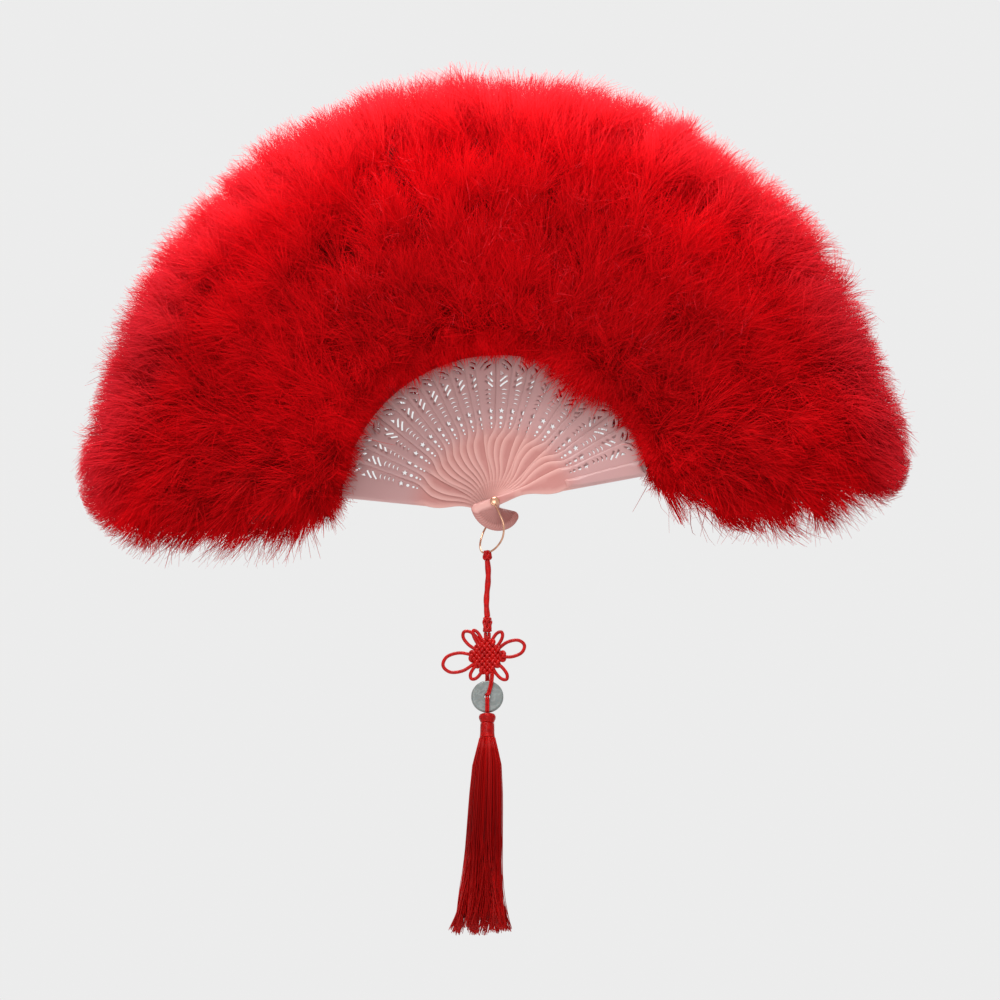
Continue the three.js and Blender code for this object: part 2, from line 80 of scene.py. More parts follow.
def addCamera(settings):
    data = bpy.data.cameras.new("camera")
    data.lens = settings["lens"]
    data.sensor_width = settings["sensor"]
    tilt = math.radians(settings["elevation"])
    back = Vector((0, -math.cos(tilt), math.sin(tilt)))
    at = Vector(settings["aim"]) + back * settings["distance"]
    bpy.context.scene.camera = addObject("camera", data, at, -back)


addCamera(cameraSettings)
print("camera placed")


# mesh helpers: points are rows of x, y, z in millimetres
def meshFromFaces(name, points, faces):
    mesh = bpy.data.meshes.new(name)
    if isinstance(faces, list):
        mesh.from_pydata((np.asarray(points, float) * mm).tolist(), [], faces)
        mesh.update()
        return mesh
    faces = np.asarray(faces, np.int32)
    mesh.vertices.add(len(points))
    mesh.vertices.foreach_set("co", (np.asarray(points, np.float32) * mm).ravel())
    mesh.loops.add(faces.size)
    mesh.loops.foreach_set("vertex_index", faces.ravel())
    mesh.polygons.add(len(faces))
    mesh.polygons.foreach_set("loop_start", np.arange(len(faces), dtype=np.int32) * faces.shape[1])
    mesh.update(calc_edges=True)
    return mesh


def addPiece(name, points, faces, body, slot, smooth=True):
    mesh = meshFromFaces(name, points, faces)
    mesh.materials.append(finishes[slot])
    mesh.polygons.foreach_set("use_smooth", np.full(len(mesh.polygons), smooth))
    piece = addObject(name, mesh)
    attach(piece, body)
    return piece


# a node's lowest and highest corners, in millimetres
def boxOf(node):
    low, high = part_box(node)
    return np.array(low) / mm, np.array(high) / mm


def unit(vectors):
    return vectors / np.maximum(np.linalg.norm(vectors, axis=-1, keepdims=True), tiny)


# 0 below a first value, 1 above a second, and even between them
def ramp(value, low, high):
    return np.clip((value - low) / (high - low), 0, 1)


# rings of equal length, joined in a row
def loftFaces(rings, sides):
    faces = []
    for base in range(0, (rings - 1) * sides, sides):
        for side in range(sides):
            after = (side + 1) % sides
            faces.append((base + side, base + after, base + sides + after, base + sides + side))
    return faces


# rings of points, joined in a row, with a flat face at each end
def closedLoft(rings):
    count, sides = len(rings), len(rings[0])
    ends = [tuple(range(sides - 1, -1, -1)), tuple(range((count - 1) * sides, count * sides))]
    return np.concatenate(rings), loftFaces(count, sides) + ends


# several bodies of points and faces as one
def joined(parts):
    points, faces, first = [], [], 0
    for some, theirs in parts:
        points.append(np.asarray(some, float))
        faces += [tuple(corner + first for corner in face) for face in theirs]
        first += len(some)
    return np.concatenate(points), faces


# a profile of radius and height, turned about z; a radius of zero is a pole
def turnedBody(profile, sides, closed=False):
    angles = np.linspace(0, 2 * math.pi, sides, endpoint=False)
    points, rows = [], []
    for radius, height in profile:
        rows.append(len(points))
        if radius == 0:
            points.append((0, 0, height))
        else:
            points += [(radius * math.cos(a), radius * math.sin(a), height) for a in angles]
    faces = []
    pairs = list(zip(range(len(profile) - 1), range(1, len(profile))))
    if closed:
        pairs.append((len(profile) - 1, 0))
    for low, high in pairs:
        for side in range(sides):
            after = (side + 1) % sides
            a, b = rows[low], rows[high]
            if profile[low][0] == 0:
                faces.append((a, b + after, b + side))
            elif profile[high][0] == 0:
                faces.append((a + side, a + after, b))
            else:
                faces.append((a + side, a + after, b + after, b + side))
    return np.array(points, float), faces


tubeShape = {
    "endShare": 0.4,  # how far the middle of a tube's end stands out, as a share of its radius
    "steep": 0.9,  # a route that starts more nearly along y than this has its sides measured from x
}


# the direction of a route at each point, and two across it that don't twist
def tubeFrame(route, closed):
    count = len(route)
    ahead = np.roll(route, -1, axis=0) - np.roll(route, 1, axis=0)
    if not closed:
        ahead[0], ahead[-1] = route[1] - route[0], route[-1] - route[-2]
    ahead = unit(ahead)
    side = np.zeros((count, 3))
    start = np.array([0, 1.0, 0]) if abs(ahead[0][1]) < tubeShape["steep"] else np.array([1.0, 0, 0])
    side[0] = unit(start - ahead[0] * start.dot(ahead[0]))
    for i in range(1, count):
        side[i] = unit(side[i - 1] - ahead[i] * side[i - 1].dot(ahead[i]))
    other = np.cross(ahead, side)
    if closed:
        slip = math.atan2(side[-1].dot(other[0]), side[-1].dot(side[0]))
        turn = (-slip * np.arange(count) / count)[:, None]
        cosine, sine = np.cos(turn), np.sin(turn)
        side, other = side * cosine + other * sine, other * cosine - side * sine
    return ahead, side, other


# a tube along a route, with lobes that turn round it, as twisted plies do
def tubeBody(route, radius, sides=12, lobes=0, lobeDepth=0.0, twist=0.0, closed=False):
    route = np.asarray(route, float)
    count = len(route)
    ahead, side, other = tubeFrame(route, closed)
    travelled = np.concatenate([[0], np.cumsum(np.linalg.norm(np.diff(route, axis=0), axis=1))])
    angles = np.linspace(0, 2 * math.pi, sides, endpoint=False)
    phase = lobes * angles[None, :] - twist * travelled[:, None]
    reach = radius * (1 - lobeDepth * (0.5 - 0.5 * np.cos(phase)))
    cosine, sine = np.cos(angles)[:, None], np.sin(angles)[:, None]
    ring = cosine * side[:, None] + sine * other[:, None]
    points = (route[:, None] + ring * reach[..., None]).reshape(-1, 3)
    faces = loftFaces(count, sides)
    last = (count - 1) * sides
    around = [(k, (k + 1) % sides) for k in range(sides)]
    if closed:
        return points, faces + [(last + k, last + after, after, k) for k, after in around]
    out = radius * tubeShape["endShare"]
    ends = np.array([route[0] - ahead[0] * out, route[-1] + ahead[-1] * out])
    low, high = len(points), len(points) + 1
    for k, after in around:
        faces += [(low, after, k), (high, last + k, last + after)]
    return np.concatenate([points, ends]), faces


# a smooth run through a list of points
def smoothRun(points, each):
    points = np.asarray(points, float)
    padded = np.concatenate([2 * points[:1] - points[1:2], points, 2 * points[-1:] - points[-2:-1]])
    run = []
    for i in range(len(points) - 1):
        a, b, c, d = padded[i:i + 4]
        for t in np.arange(each) / each:
            run.append(0.5 * (2 * b + (c - a) * t + (2 * a - 5 * b + 4 * c - d) * t * t
                              + (3 * b - a - 3 * c + d) * t ** 3))
    return np.array(run + [points[-1]])


# one thread wound round and round over a profile of radius and height
def woundThread(profile, thread, turns, steps=26):
    profile = np.asarray(profile, float)
    travelled = np.concatenate([[0], np.cumsum(np.linalg.norm(np.diff(profile, axis=0), axis=1))])
    t = np.linspace(0, 1, turns * steps + 1)
    radius = np.interp(t * travelled[-1], travelled, profile[:, 0])
    height = np.interp(t * travelled[-1], travelled, profile[:, 1])
    angle = 2 * math.pi * turns * t
    route = np.stack([radius * np.cos(angle), radius * np.sin(angle), height], axis=1)
    return tubeBody(route, thread, sides=6)


# One cord that runs round and up and down over and under itself, as on a knotted ball or sleeve.
def wovenSleeve(shape, steps=44, sides=9):
    leads, bights = shape["leads"], shape["bights"]
    t = np.linspace(0, 2 * math.pi, leads * steps, endpoint=False)
    rise = shape["reach"] * np.cos(bights * t)
    radius = shape["middle"] * np.cos(rise) ** shape["taper"]
    radius = radius + shape["lift"] * np.sin((leads - 1) * bights * t)
    height = shape["half"] * np.sin(rise) / math.sin(shape["reach"])
    route = np.stack([radius * np.cos(leads * t), radius * np.sin(leads * t), height], axis=1)
    return tubeBody(route, shape["cord"], sides, closed=True)


offAxis = (0.31, 0.95, 0.05)  # a direction that no thread runs in


# many thin tubes of four sides at once; routes is an array of threads by steps by three
def threadTubes(routes, radii):
    count, steps = routes.shape[:2]
    ahead = unit(np.gradient(routes, axis=1))
    side = unit(np.cross(ahead, offAxis))
    other = np.cross(ahead, side)
    ring = np.stack([side, other, -side, -other], axis=2)
    points = routes[:, :, None] + ring * radii[..., None, None]
    first = np.arange(count)[:, None, None] * steps * 4
    step = np.arange(steps - 1)[None, :, None] * 4
    k = np.arange(4)[None, None, :]
    base, after = first + step + k, first + step + (k + 1) % 4
    walls = np.stack([base, after, after + 4, base + 4], axis=-1).reshape(-1, 4)
    low = np.arange(count)[:, None] * steps * 4 + np.array([3, 2, 1, 0])
    high = np.arange(count)[:, None] * steps * 4 + (steps - 1) * 4 + np.arange(4)
    return points.reshape(-1, 3), np.concatenate([walls, low, high])


def setStrandColors(mesh, colors):
    layer = mesh.attributes.new("strand", "FLOAT_COLOR", "POINT")
    layer.data.foreach_set("color", np.asarray(colors, np.float32).ravel())


# gives sockets their values; a value that is itself a socket is linked
def feed(tree, sockets, values):
    for socket, value in zip(sockets, values):
        if isinstance(value, bpy.types.NodeSocket):
            tree.links.new(value, socket)
        else:
            socket.default_value = value


def feedNamed(tree, node, inputs):
    feed(tree, [node.inputs[name] for name in inputs], inputs.values())
    return node


def newMaterial(name, inputs):
    made = bpy.data.materials.new(name)
    made.use_nodes = True
    tree = made.node_tree
    return made, tree, feedNamed(tree, tree.nodes["Principled BSDF"], inputs)


def addNode(tree, kind, inputs=None, **settings):
    node = tree.nodes.new(kind)
    for key, value in settings.items():
        setattr(node, key, value)
    return feedNamed(tree, node, inputs or {})


def addMath(tree, operation, *values):
    node = addNode(tree, "ShaderNodeMath", operation=operation)
    feed(tree, node.inputs, values)
    return node.outputs[0]


def addMix(tree, factor, first, second):
    node = addNode(tree, "ShaderNodeMix", data_type="RGBA")
    feed(tree, (node.inputs[0], node.inputs[6], node.inputs[7]), (factor, first, second))
    return node.outputs[2]


def newGroup(name, inputs, outputs):
    group = bpy.data.node_groups.new(name, "ShaderNodeTree")
    for label, kind, value in inputs:
        socket = group.interface.new_socket(name=label, in_out="INPUT", socket_type=kind)
        socket.default_value = value
    for label, kind in outputs:
        group.interface.new_socket(name=label, in_out="OUTPUT", socket_type=kind)
    return group, group.nodes.new("NodeGroupInput").outputs, group.nodes.new("NodeGroupOutput")


# how much each thing brightens a strand; on the feathers, "along" leaves the roots darker as painted shade
# deep in the plume
tintShape = {
    "along": 0.45,
    "alongPower": 0.7,
    "tuft": 0.55,
    "own": 0.2,
    "tipPower": 2.5,  # how late along the strand the tip's colour comes in
}


# Every strand piece carries "strand": how far along, its tuft's tone, how near the rim, its own tone.
def makeStrandTint(shape):
    group, given, made = newGroup(
        "strandTint",
        [
            ("Deep", "NodeSocketColor", (0.1, 0.0, 0.0, 1)),
            ("Bright", "NodeSocketColor", (0.8, 0.0, 0.0, 1)),
            ("Tip", "NodeSocketColor", (1.0, 0.1, 0.1, 1)),
            ("Tip Amount", "NodeSocketFloat", 0.5),
        ],
        [("Color", "NodeSocketColor")],
    )
    strand = addNode(group, "ShaderNodeAttribute", attribute_name="strand").outputs
    parts = addNode(group, "ShaderNodeSeparateColor", {"Color": strand["Color"]})
    along, tuft, rim = parts.outputs
    # painted shade on the feathers: strands darker towards their roots
    lift = addMath(group, "MULTIPLY", addMath(group, "POWER", along, shape["alongPower"]), shape["along"])
    own = addMath(group, "MULTIPLY_ADD", strand["Alpha"], shape["own"], lift)
    tone = addMath(group, "MULTIPLY_ADD", tuft, shape["tuft"], own)
    body = addMix(group, tone, given["Deep"], given["Bright"])
    edge = addMath(group, "MULTIPLY", addMath(group, "POWER", along, shape["tipPower"]), rim)
    edge = addMath(group, "MULTIPLY", edge, given["Tip Amount"])
    feedNamed(group, made, {"Color": addMix(group, edge, body, given["Tip"])})
    return group


grainShape = {
    "noise": {"Detail": 3.0, "Roughness": 0.55},
    "stretch": {"From Min": 0.32, "From Max": 0.68},
    "bump": 0.3,
}


# where a point lies in its piece's own frame
def ownPlace(tree):
    return tree.nodes.new("ShaderNodeTexCoord").outputs["Object"]


# Fine unevenness of a moulded, cast, spun or polished skin, and a broad one, both from 0 to 1.
def makeSkinGrain(shape):
    group, given, made = newGroup(
        "skinGrain",
        [("Scale", "NodeSocketFloat", 900.0), ("Broad Scale", "NodeSocketFloat", 60.0)],
        [("Grain", "NodeSocketFloat"), ("Broad", "NodeSocketFloat")],
    )
    for label, source in (("Grain", "Scale"), ("Broad", "Broad Scale")):
        place = {"Vector": ownPlace(group), "Scale": given[source]}
        noise = addNode(group, "ShaderNodeTexNoise", {**shape["noise"], **place})
        stretch = addNode(group, "ShaderNodeMapRange", {**shape["stretch"], "Value": noise.outputs["Fac"]})
        feedNamed(group, made, {label: stretch.outputs["Result"]})
    return group


strandTint = makeStrandTint(tintShape)
skinGrain = makeSkinGrain(grainShape)


def placeGroup(tree, group, inputs):
    return feedNamed(tree, addNode(tree, "ShaderNodeGroup", node_tree=group), inputs)


strandSkins = {
    "feather": {
        "skin": {
            "Roughness": 0.6,
            "Specular IOR Level": 0.05,
            "Sheen Weight": 0.06,
            "Sheen Roughness": 0.4,
            "Sheen Tint": (1.0, 0.1, 0.14, 1),
        },
        "tint": {
            "Deep": (0.13, 0.0, 0.0, 1),
            "Bright": (1.0, 0.0008, 0.005, 1),
            "Tip": (0.95, 0.05, 0.08, 1),
            "Tip Amount": 0.7,
        },
    },
    "silk_thread": {
        "skin": {
            "Roughness": 0.42,
            "Specular IOR Level": 0.08,
        },
        "tint": {
            "Deep": (0.09, 0.0, 0.0, 1),
            "Bright": (0.54, 0.0012, 0.001, 1),
            # on the threads, Tip is the colour of a painted highlight
            "Tip": (0.66, 0.04, 0.035, 1),
            "Tip Amount": 0.8,
        },
    },
}


def makeStrandMaterial(name):
    made, tree, shader = newMaterial(name, strandSkins[name]["skin"])
    tint = placeGroup(tree, strandTint, strandSkins[name]["tint"])
    feedNamed(tree, shader, {"Base Color": tint.outputs["Color"]})
    return made


# materials whose colour and roughness follow the grain
grainSkins = {
    "moulded_plastic": {
        "skin": {"Roughness": 0.42, "Specular IOR Level": 0.42, "Coat Weight": 0.1, "Coat Roughness": 0.3},
        "grain": {"Scale": 1400.0, "Broad Scale": 45.0},
        "low": (0.54, 0.21, 0.185, 1),
        "high": (0.58, 0.235, 0.21, 1),
        "roughSpread": 0.12,
        "height": 0.00002,
    },
    "rose_gold": {
        "skin": {"Metallic": 1.0, "Roughness": 0.2},
        "grain": {"Scale": 2600.0, "Broad Scale": 300.0},
        "low": (0.52, 0.25, 0.16, 1),
        "high": (0.78, 0.45, 0.3, 1),
        "roughSpread": 0.14,
        "height": 0.000004,
    },
    "satin_cord": {
        "skin": {
            "Roughness": 0.36,
            "Specular IOR Level": 0.22,
            "Sheen Weight": 0.05,
            "Sheen Roughness": 0.35,
            "Sheen Tint": (1.0, 0.2, 0.14, 1),
        },
        "grain": {"Scale": 5200.0, "Broad Scale": 420.0},
        "low": (0.36, 0.0, 0.0005, 1),
        "high": (0.62, 0.004, 0.0025, 1),
        "roughSpread": 0.16,
        "height": 0.00003,
    },
    "satin_ribbon": {
        "skin": {"Roughness": 0.34, "Specular IOR Level": 0.4, "Sheen Weight": 0.2, "Sheen Roughness": 0.3},
        "grain": {"Scale": 3800.0, "Broad Scale": 240.0},
        "low": (0.22, 0.002, 0.004, 1),
        "high": (0.42, 0.004, 0.008, 1),
        "roughSpread": 0.16,
        "height": 0.00005,
    },
    "polished_stone": {
        "skin": {
            "Roughness": 0.34,
            "Specular IOR Level": 0.45,
            "Coat Weight": 0.2,
            "Coat Roughness": 0.2,
            "Subsurface Weight": 0.08,
            "Subsurface Scale": 0.002,
        },
        "grain": {"Scale": 900.0, "Broad Scale": 170.0},
        "low": (0.155, 0.178, 0.168, 1),
        "high": (0.215, 0.238, 0.228, 1),
        "roughSpread": 0.1,
        "height": 0.00001,
    },
}


def makeGrainMaterial(name):
    look = grainSkins[name]
    made, tree, shader = newMaterial(name, look["skin"])
    grain = placeGroup(tree, skinGrain, look["grain"]).outputs
    color = addMix(tree, grain["Broad"], look["low"], look["high"])
    least = look["skin"]["Roughness"] - look["roughSpread"] / 2
    rough = addMath(tree, "MULTIPLY_ADD", grain["Grain"], look["roughSpread"], least)
    relief = {"Strength": grainShape["bump"], "Distance": look["height"], "Height": grain["Grain"]}
    normal = addNode(tree, "ShaderNodeBump", relief).outputs["Normal"]
    feedNamed(tree, shader, {"Base Color": color, "Roughness": rough, "Normal": normal})
    return made, tree, shader, color


# The gorge is warm and the blades are greyer. Painted highlight: towards the edges marked by "edge", the
# plastic is painted lighter, standing for the light its thin, rounded edges let through and catch.
plasticTones = {
    "gorgeEdgeHighlight": (0.8, 0.42, 0.37, 1),
    "blade": (0.57, 0.31, 0.3, 1),
    "bladeEdgeHighlight": (0.68, 0.415, 0.4, 1),
    "turn": (0.036, 0.052),  # metres from the rivet, where one tone becomes the other
}


def makePlasticMaterial(tones):
    made, tree, shader, gorge = makeGrainMaterial("moulded_plastic")
    flat = addNode(tree, "ShaderNodeVectorMath", operation="MULTIPLY")
    feed(tree, flat.inputs, (ownPlace(tree), (1, 0, 1)))
    radius = addNode(tree, "ShaderNodeVectorMath", operation="LENGTH")
    feed(tree, radius.inputs, flat.outputs[:1])
    first, last = tones["turn"]
    turn = {"From Min": first, "From Max": last, "Value": radius.outputs["Value"]}
    share = addNode(tree, "ShaderNodeMapRange", turn, interpolation_type="SMOOTHSTEP").outputs["Result"]
    # painted highlight: the colour turns lighter towards the edges that "edge" marks
    edge = addNode(tree, "ShaderNodeAttribute", attribute_name="edge").outputs["Fac"]
    gorge = addMix(tree, edge, gorge, tones["gorgeEdgeHighlight"])
    blade = addMix(tree, edge, tones["blade"], tones["bladeEdgeHighlight"])
    feedNamed(tree, shader, {"Base Color": addMix(tree, share, gorge, blade)})
    return made


stoneVeins = {
    "noise": {"Scale": 130.0, "Detail": 5.0, "Distortion": 1.6},
    "range": {"From Max": 0.05, "To Min": 0.6, "To Max": 0.0},  # width and strength
    "color": (0.31, 0.335, 0.32, 1),
}


def makeStoneMaterial(veins):
    made, tree, shader, color = makeGrainMaterial("polished_stone")
    noise = addNode(tree, "ShaderNodeTexNoise", {**veins["noise"], "Vector": ownPlace(tree)})
    away = addMath(tree, "ABSOLUTE", addMath(tree, "SUBTRACT", noise.outputs["Fac"], 0.5))
    vein = addNode(tree, "ShaderNodeMapRange", {**veins["range"], "Value": away}).outputs["Result"]
    feedNamed(tree, shader, {"Base Color": addMix(tree, vein, color, veins["color"])})
    return made


# the record's slots and their materials
finishes = {
    "feather": makeStrandMaterial("feather"),
    "silk": makeStrandMaterial("silk_thread"),
    "gorge": makePlasticMaterial(plasticTones),
    "stone": makeStoneMaterial(stoneVeins),
    "gold": makeGrainMaterial("rose_gold")[0],
    "cord": makeGrainMaterial("satin_cord")[0],
    "ribbon": makeGrainMaterial("satin_ribbon")[0],
}
print("materials made")


# a pale floor under a pale backdrop, and soft light from above on the left
stageSettings = {
    "floorSize": 12.0,
    "floorZ": -0.72,
    "floorColor": (0.84, 0.84, 0.84, 1),
    "worldColor": (0.84, 0.84, 0.84, 1),
    "fillColor": (0.42, 0.42, 0.43, 1),
    "floorGlow": 0.93,  # how much of its own colour the floor shows, so that it meets the backdrop
}
lampSettings = {
    "key": {"at": (-0.2, -0.55, 1.35), "aim": (0, 0, 0.08), "size": 0.8, "power": 21},
    "fill": {"at": (-0.3, -1.7, -0.2), "aim": (0, 0, 0.05), "size": 1.0, "power": 8},
    "top": {"at": (0.15, 0.45, 1.1), "aim": (0, 0, 0.15), "size": 0.7, "power": 8.5},
}


# 1 where the camera looks at a surface, straight or by way of a shiny or clear one
def seenByCamera(tree):
    light = tree.nodes.new("ShaderNodeLightPath")
    seen = addMath(tree, "MAXIMUM", light.outputs["Is Camera Ray"], light.outputs["Is Glossy Ray"])
    return addMath(tree, "MAXIMUM", seen, light.outputs["Is Transmission Ray"])


def mixShaders(tree, factor, first, second):
    mix = tree.nodes.new("ShaderNodeMixShader")
    feed(tree, mix.inputs, (factor, first, second))
    return mix.outputs[0]


def makeFloorMaterial():
    color = stageSettings["floorColor"]
    made, tree, shader = newMaterial("floor", {"Base Color": color, "Roughness": 0.9})
    facing = tree.nodes.new("ShaderNodeNewGeometry").outputs["Backfacing"]
    clear = tree.nodes.new("ShaderNodeBsdfTransparent").outputs[0]
    glow = addNode(tree, "ShaderNodeEmission", {"Color": color}).outputs[0]
    share = addMath(tree, "MULTIPLY", seenByCamera(tree), stageSettings["floorGlow"])
    surface = mixShaders(tree, facing, mixShaders(tree, share, shader.outputs[0], glow), clear)
    feedNamed(tree, tree.nodes["Material Output"], {"Surface": surface})
    return made


def addStage():
    half = stageSettings["floorSize"] / 2
    height = stageSettings["floorZ"]
    corners = [(-half, -half, height), (half, -half, height), (half, half, height), (-half, half, height)]
    mesh = bpy.data.meshes.new("floor")
    mesh.from_pydata(corners, [], [(0, 1, 2, 3)])
    mesh.materials.append(makeFloorMaterial())
    floor = addObject("floor", mesh)

    world = bpy.data.worlds.new("world")
    bpy.context.scene.world = world
    world.use_nodes = True
    tree = world.node_tree
    color = addMix(tree, seenByCamera(tree), stageSettings["fillColor"], stageSettings["worldColor"])
    feedNamed(tree, tree.nodes["Background"], {"Color": color})

    for name, lamp in lampSettings.items():
        data = bpy.data.lights.new(name, "AREA")
        data.energy = lamp["power"]
        data.size = lamp["size"]
        addObject(name, data, lamp["at"], Vector(lamp["aim"]) - Vector(lamp["at"]))


addStage()
bpy.context.scene.view_settings.view_transform = "Standard"
print("stage and lamps placed")


# the fan's layout, which every stick and plume follows
fanLayout = {
    "sticks": 23,
    "frontAngle": 21.8,  # degrees, of the front guard above +X
    "layer": 1.05,
    "guardMiddle": 11.9,  # how far a guard's middle lies from the stack's
}
foldJoint = next(joint for joint in frame["joints"] if joint["name"] == "fan_fold")
spread = foldJoint["range_deg"][1]
stepAngle = spread / (fanLayout["sticks"] - 1)


def angleOf(n):
    return math.radians(fanLayout["frontAngle"] + (fanLayout["sticks"] - n) * stepAngle)


def isGuard(n):
    return n in (1, fanLayout["sticks"])


def depthOf(n):
    if isGuard(n):
        return fanLayout["guardMiddle"] * (1 if n == 1 else -1)
    return ((fanLayout["sticks"] + 1) / 2 - n) * fanLayout["layer"]


def bodyOf(n):
    if isGuard(n):
        return "back_guard" if n == 1 else "front_guard"
    return f"stick_{n:02d}"


# local x is across a stick, y is the depth and z runs along it
def toFan(n, points):
    angle = angleOf(n)
    x, y, z = points[..., 0], points[..., 1], points[..., 2]
    return np.stack(
        [z * math.cos(angle) + x * math.sin(angle), y, z * math.sin(angle) - x * math.cos(angle)],
        axis=-1,
    )


# Sticks: a swelling gorge, a pierced blade and a slat. Local x runs across, z along, from the pivot.
stickShape = {
    "thick": 0.9,
    "holeRadius": 1.5,
    "tailReach": 13.6,
    "tailHalf": 3.1,
    "neckAt": 12.4,
    "neckHalf": 1.9,
    "bulgeAt": 34,
    "bulgeHalf": 6.4,
    "backBulgeAt": 40,
    "backHalf": 4.4,
    "gorgeEnd": 47,
    "bladeEnd": 86.5,
    "bladeLap": 0.25,
    "marginHalf": 7.8,
    "corner": 1.2,
    "archDrop": 8.5,
    "archShare": 0.8,
    "slatHalf": 2.5,
    "slatTipHalf": 1.5,
    "slatCorner": 1.2,
    "length": 196,
    "turned": (4, 12, 16, 17, 20, 23),  # riveted in back to front
    "gorgeRound": (3.0, 0.42),  # width and depth of the gorge's rounded edge, at its widest
    "roundShare": 0.1,  # its width closer in, as a share of the distance from the rivet
    "tailRound": 1.2,
    "tailPaintedLight": 0.9,  # painted light and shade: how much lighter a tail is in its middle than at its edge, which stays darker as the shade between the tails
    "bladeRound": (0.5, 0.18),
    "roundFade": 9,  # the length past the back bulge over which the gorge's edge becomes the blade's
    "roundPower": 1.5,
    "holeRound": (0.3, 0.13),
}
guardShape = {
    "thick": 1.6,
    "bulgeAt": 37,
    "bulgeHalf": 8.2,
    "bladeEnd": 83,
    "edgeHalf": 17.2,
    "corner": 1.6,
    "stripStart": 40,
    "stripHeight": 0.8,
    "stripStartWidth": 5,
    "stripEndWidth": 8.5,
    "stripInset": 0.6,
    "stripCorner": 0.7,
    "stripSink": 0.3,
}
# how a plate is divided: rows of points inside its edges, then a grid
plateShape = {
    "insets": (0.25, 0.7, 1.3, 2.1),
    "grid": 1.8,
    "guardGrid": 2.0,
    "stripInsets": (0.2, 0.5),
    "stripRound": (0.5, 0.3),
    "gridGap": 0.6,  # the gap of a point of the grid, as a share of its cell
    "edgeGap": 0.85,  # the least distance from an edge, and from another point, as shares of a point's gap
    "pointGap": 0.6,
    "weld": 0.00001,
}
laceShape = {
    "start": 44.8,
    "end": 84,
    "half": 2.3,
    "dots": [(0, 0.55), (0.056, 0.75), (0.138, 0.95)],  # share of the length, radius
    "star": (0.237, 1.75, 0.42),  # share of the length, radius and inner share
    "starTips": 5,
    "crescents": [(0.34, 0.56), (0.403, 0.65), (0.466, 0.74), (0.53, 0.83)],
    "crescentCentre": 0.3,
    "crescentBow": (1.05, 0.62),  # rise and band
    "slots": [((0.586, -0.78), (0.676, 0.96)), ((0.66, -0.83), (0.75, 0.78))],
    "slotWidth": 1.0,
    "slotBow": 0.35,
    "triangle": [(0.818, -0.87), (0.742, -0.78), (0.775, -0.1)],
    "triangleCorner": 0.25,
    "wedge": ((0.925, -0.78), (0.828, 1.04), 0.95, 1.35),
    "arc": ((0.987, -0.6), (0.85, 2.0), 1.25, 0.85),
}


def curveRun(points, count):
    points = np.asarray(points, float)
    t = np.linspace(0, 1, count)[:, None]
    if len(points) == 3:
        a, b, c = points
        return a * (1 - t) ** 2 + 2 * b * t * (1 - t) + c * t * t
    a, b, c, d = points
    return a * (1 - t) ** 3 + 3 * b * t * (1 - t) ** 2 + 3 * c * t * t * (1 - t) + d * t ** 3


swingShare = 0.45  # how far an edge holds its way, as a share of its length


# an edge that runs along the stick at both ends and swings across between them
def swing(fromX, fromZ, toX, toZ, count=16):
    ease = (toZ - fromZ) * swingShare
    return curveRun([(fromX, fromZ), (fromX, fromZ + ease), (toX, toZ - ease), (toX, toZ)], count)


def roundCorner(before, corner, after, radius, count=5):
    before, corner, after = (np.asarray(p, float) for p in (before, corner, after))
    one = corner + unit(before - corner) * radius
    two = corner + unit(after - corner) * radius
    return curveRun([one, corner, two], count)


def roundedLoop(corners, radius, count=5):
    afters = corners[1:] + corners[:1]
    return np.concatenate([
        roundCorner(before, corner, after, radius, count)
        for before, corner, after in zip(corners[-1:] + corners[:-1], corners, afters)
    ])


def narrowHalf(along):
    return along * math.tan(math.radians(stepAngle / 2)) + stickShape["bladeLap"]


def tailRun(count=15):
    radius = stickShape["tailHalf"]
    angles = -np.linspace(0, math.pi, count)
    centre = radius - stickShape["tailReach"]
    return np.stack([radius * np.cos(angles), centre + radius * np.sin(angles)], axis=1)


def slatRun(base):
    shape = stickShape
    foot, tip = (shape["slatHalf"], base), (shape["slatTipHalf"], shape["length"])
    otherFoot, otherTip = (-shape["slatHalf"], base), (-shape["slatTipHalf"], shape["length"])
    left = roundCorner(otherFoot, otherTip, tip, shape["slatCorner"])
    right = roundCorner(otherTip, tip, foot, shape["slatCorner"])
    return np.concatenate([[otherFoot], left, right, [foot]])


def hiddenGorge():
    shape = stickShape
    return swing(shape["backHalf"], shape["backBulgeAt"], shape["neckHalf"], shape["neckAt"])


def stickOutline():
    shape = stickShape
    end, margin = shape["bladeEnd"], shape["marginHalf"]
    half, gorgeHalf = narrowHalf(end), narrowHalf(shape["gorgeEnd"])
    arch = [(shape["slatHalf"], end), (margin * shape["archShare"], end), (margin, end - shape["archDrop"])]
    return np.concatenate([
        swing(-shape["neckHalf"], shape["neckAt"], -shape["bulgeHalf"], shape["bulgeAt"]),
        swing(-shape["bulgeHalf"], shape["bulgeAt"], -gorgeHalf, shape["gorgeEnd"])[1:],
        roundCorner((-gorgeHalf, shape["gorgeEnd"]), (-half, end), (0, end), shape["corner"]),
        slatRun(end),
        curveRun(arch, 12)[1:],
        hiddenGorge(),
        tailRun(),
    ])


def guardOutline():
    shape, guard = stickShape, guardShape
    end, half = shape["bladeEnd"], narrowHalf(shape["bladeEnd"])
    bulge, edge = (-guard["bulgeHalf"], guard["bulgeAt"]), (-guard["edgeHalf"], guard["bladeEnd"])
    return np.concatenate([
        swing(-shape["neckHalf"], shape["neckAt"], *bulge),
        roundCorner(bulge, edge, (-shape["slatHalf"], end), guard["corner"]),
        slatRun(end),
        roundCorner((0, end), (half, end), (half, 0), shape["corner"]),
        [(narrowHalf(shape["gorgeEnd"]), shape["gorgeEnd"])],
        hiddenGorge(),
        tailRun(),
    ])


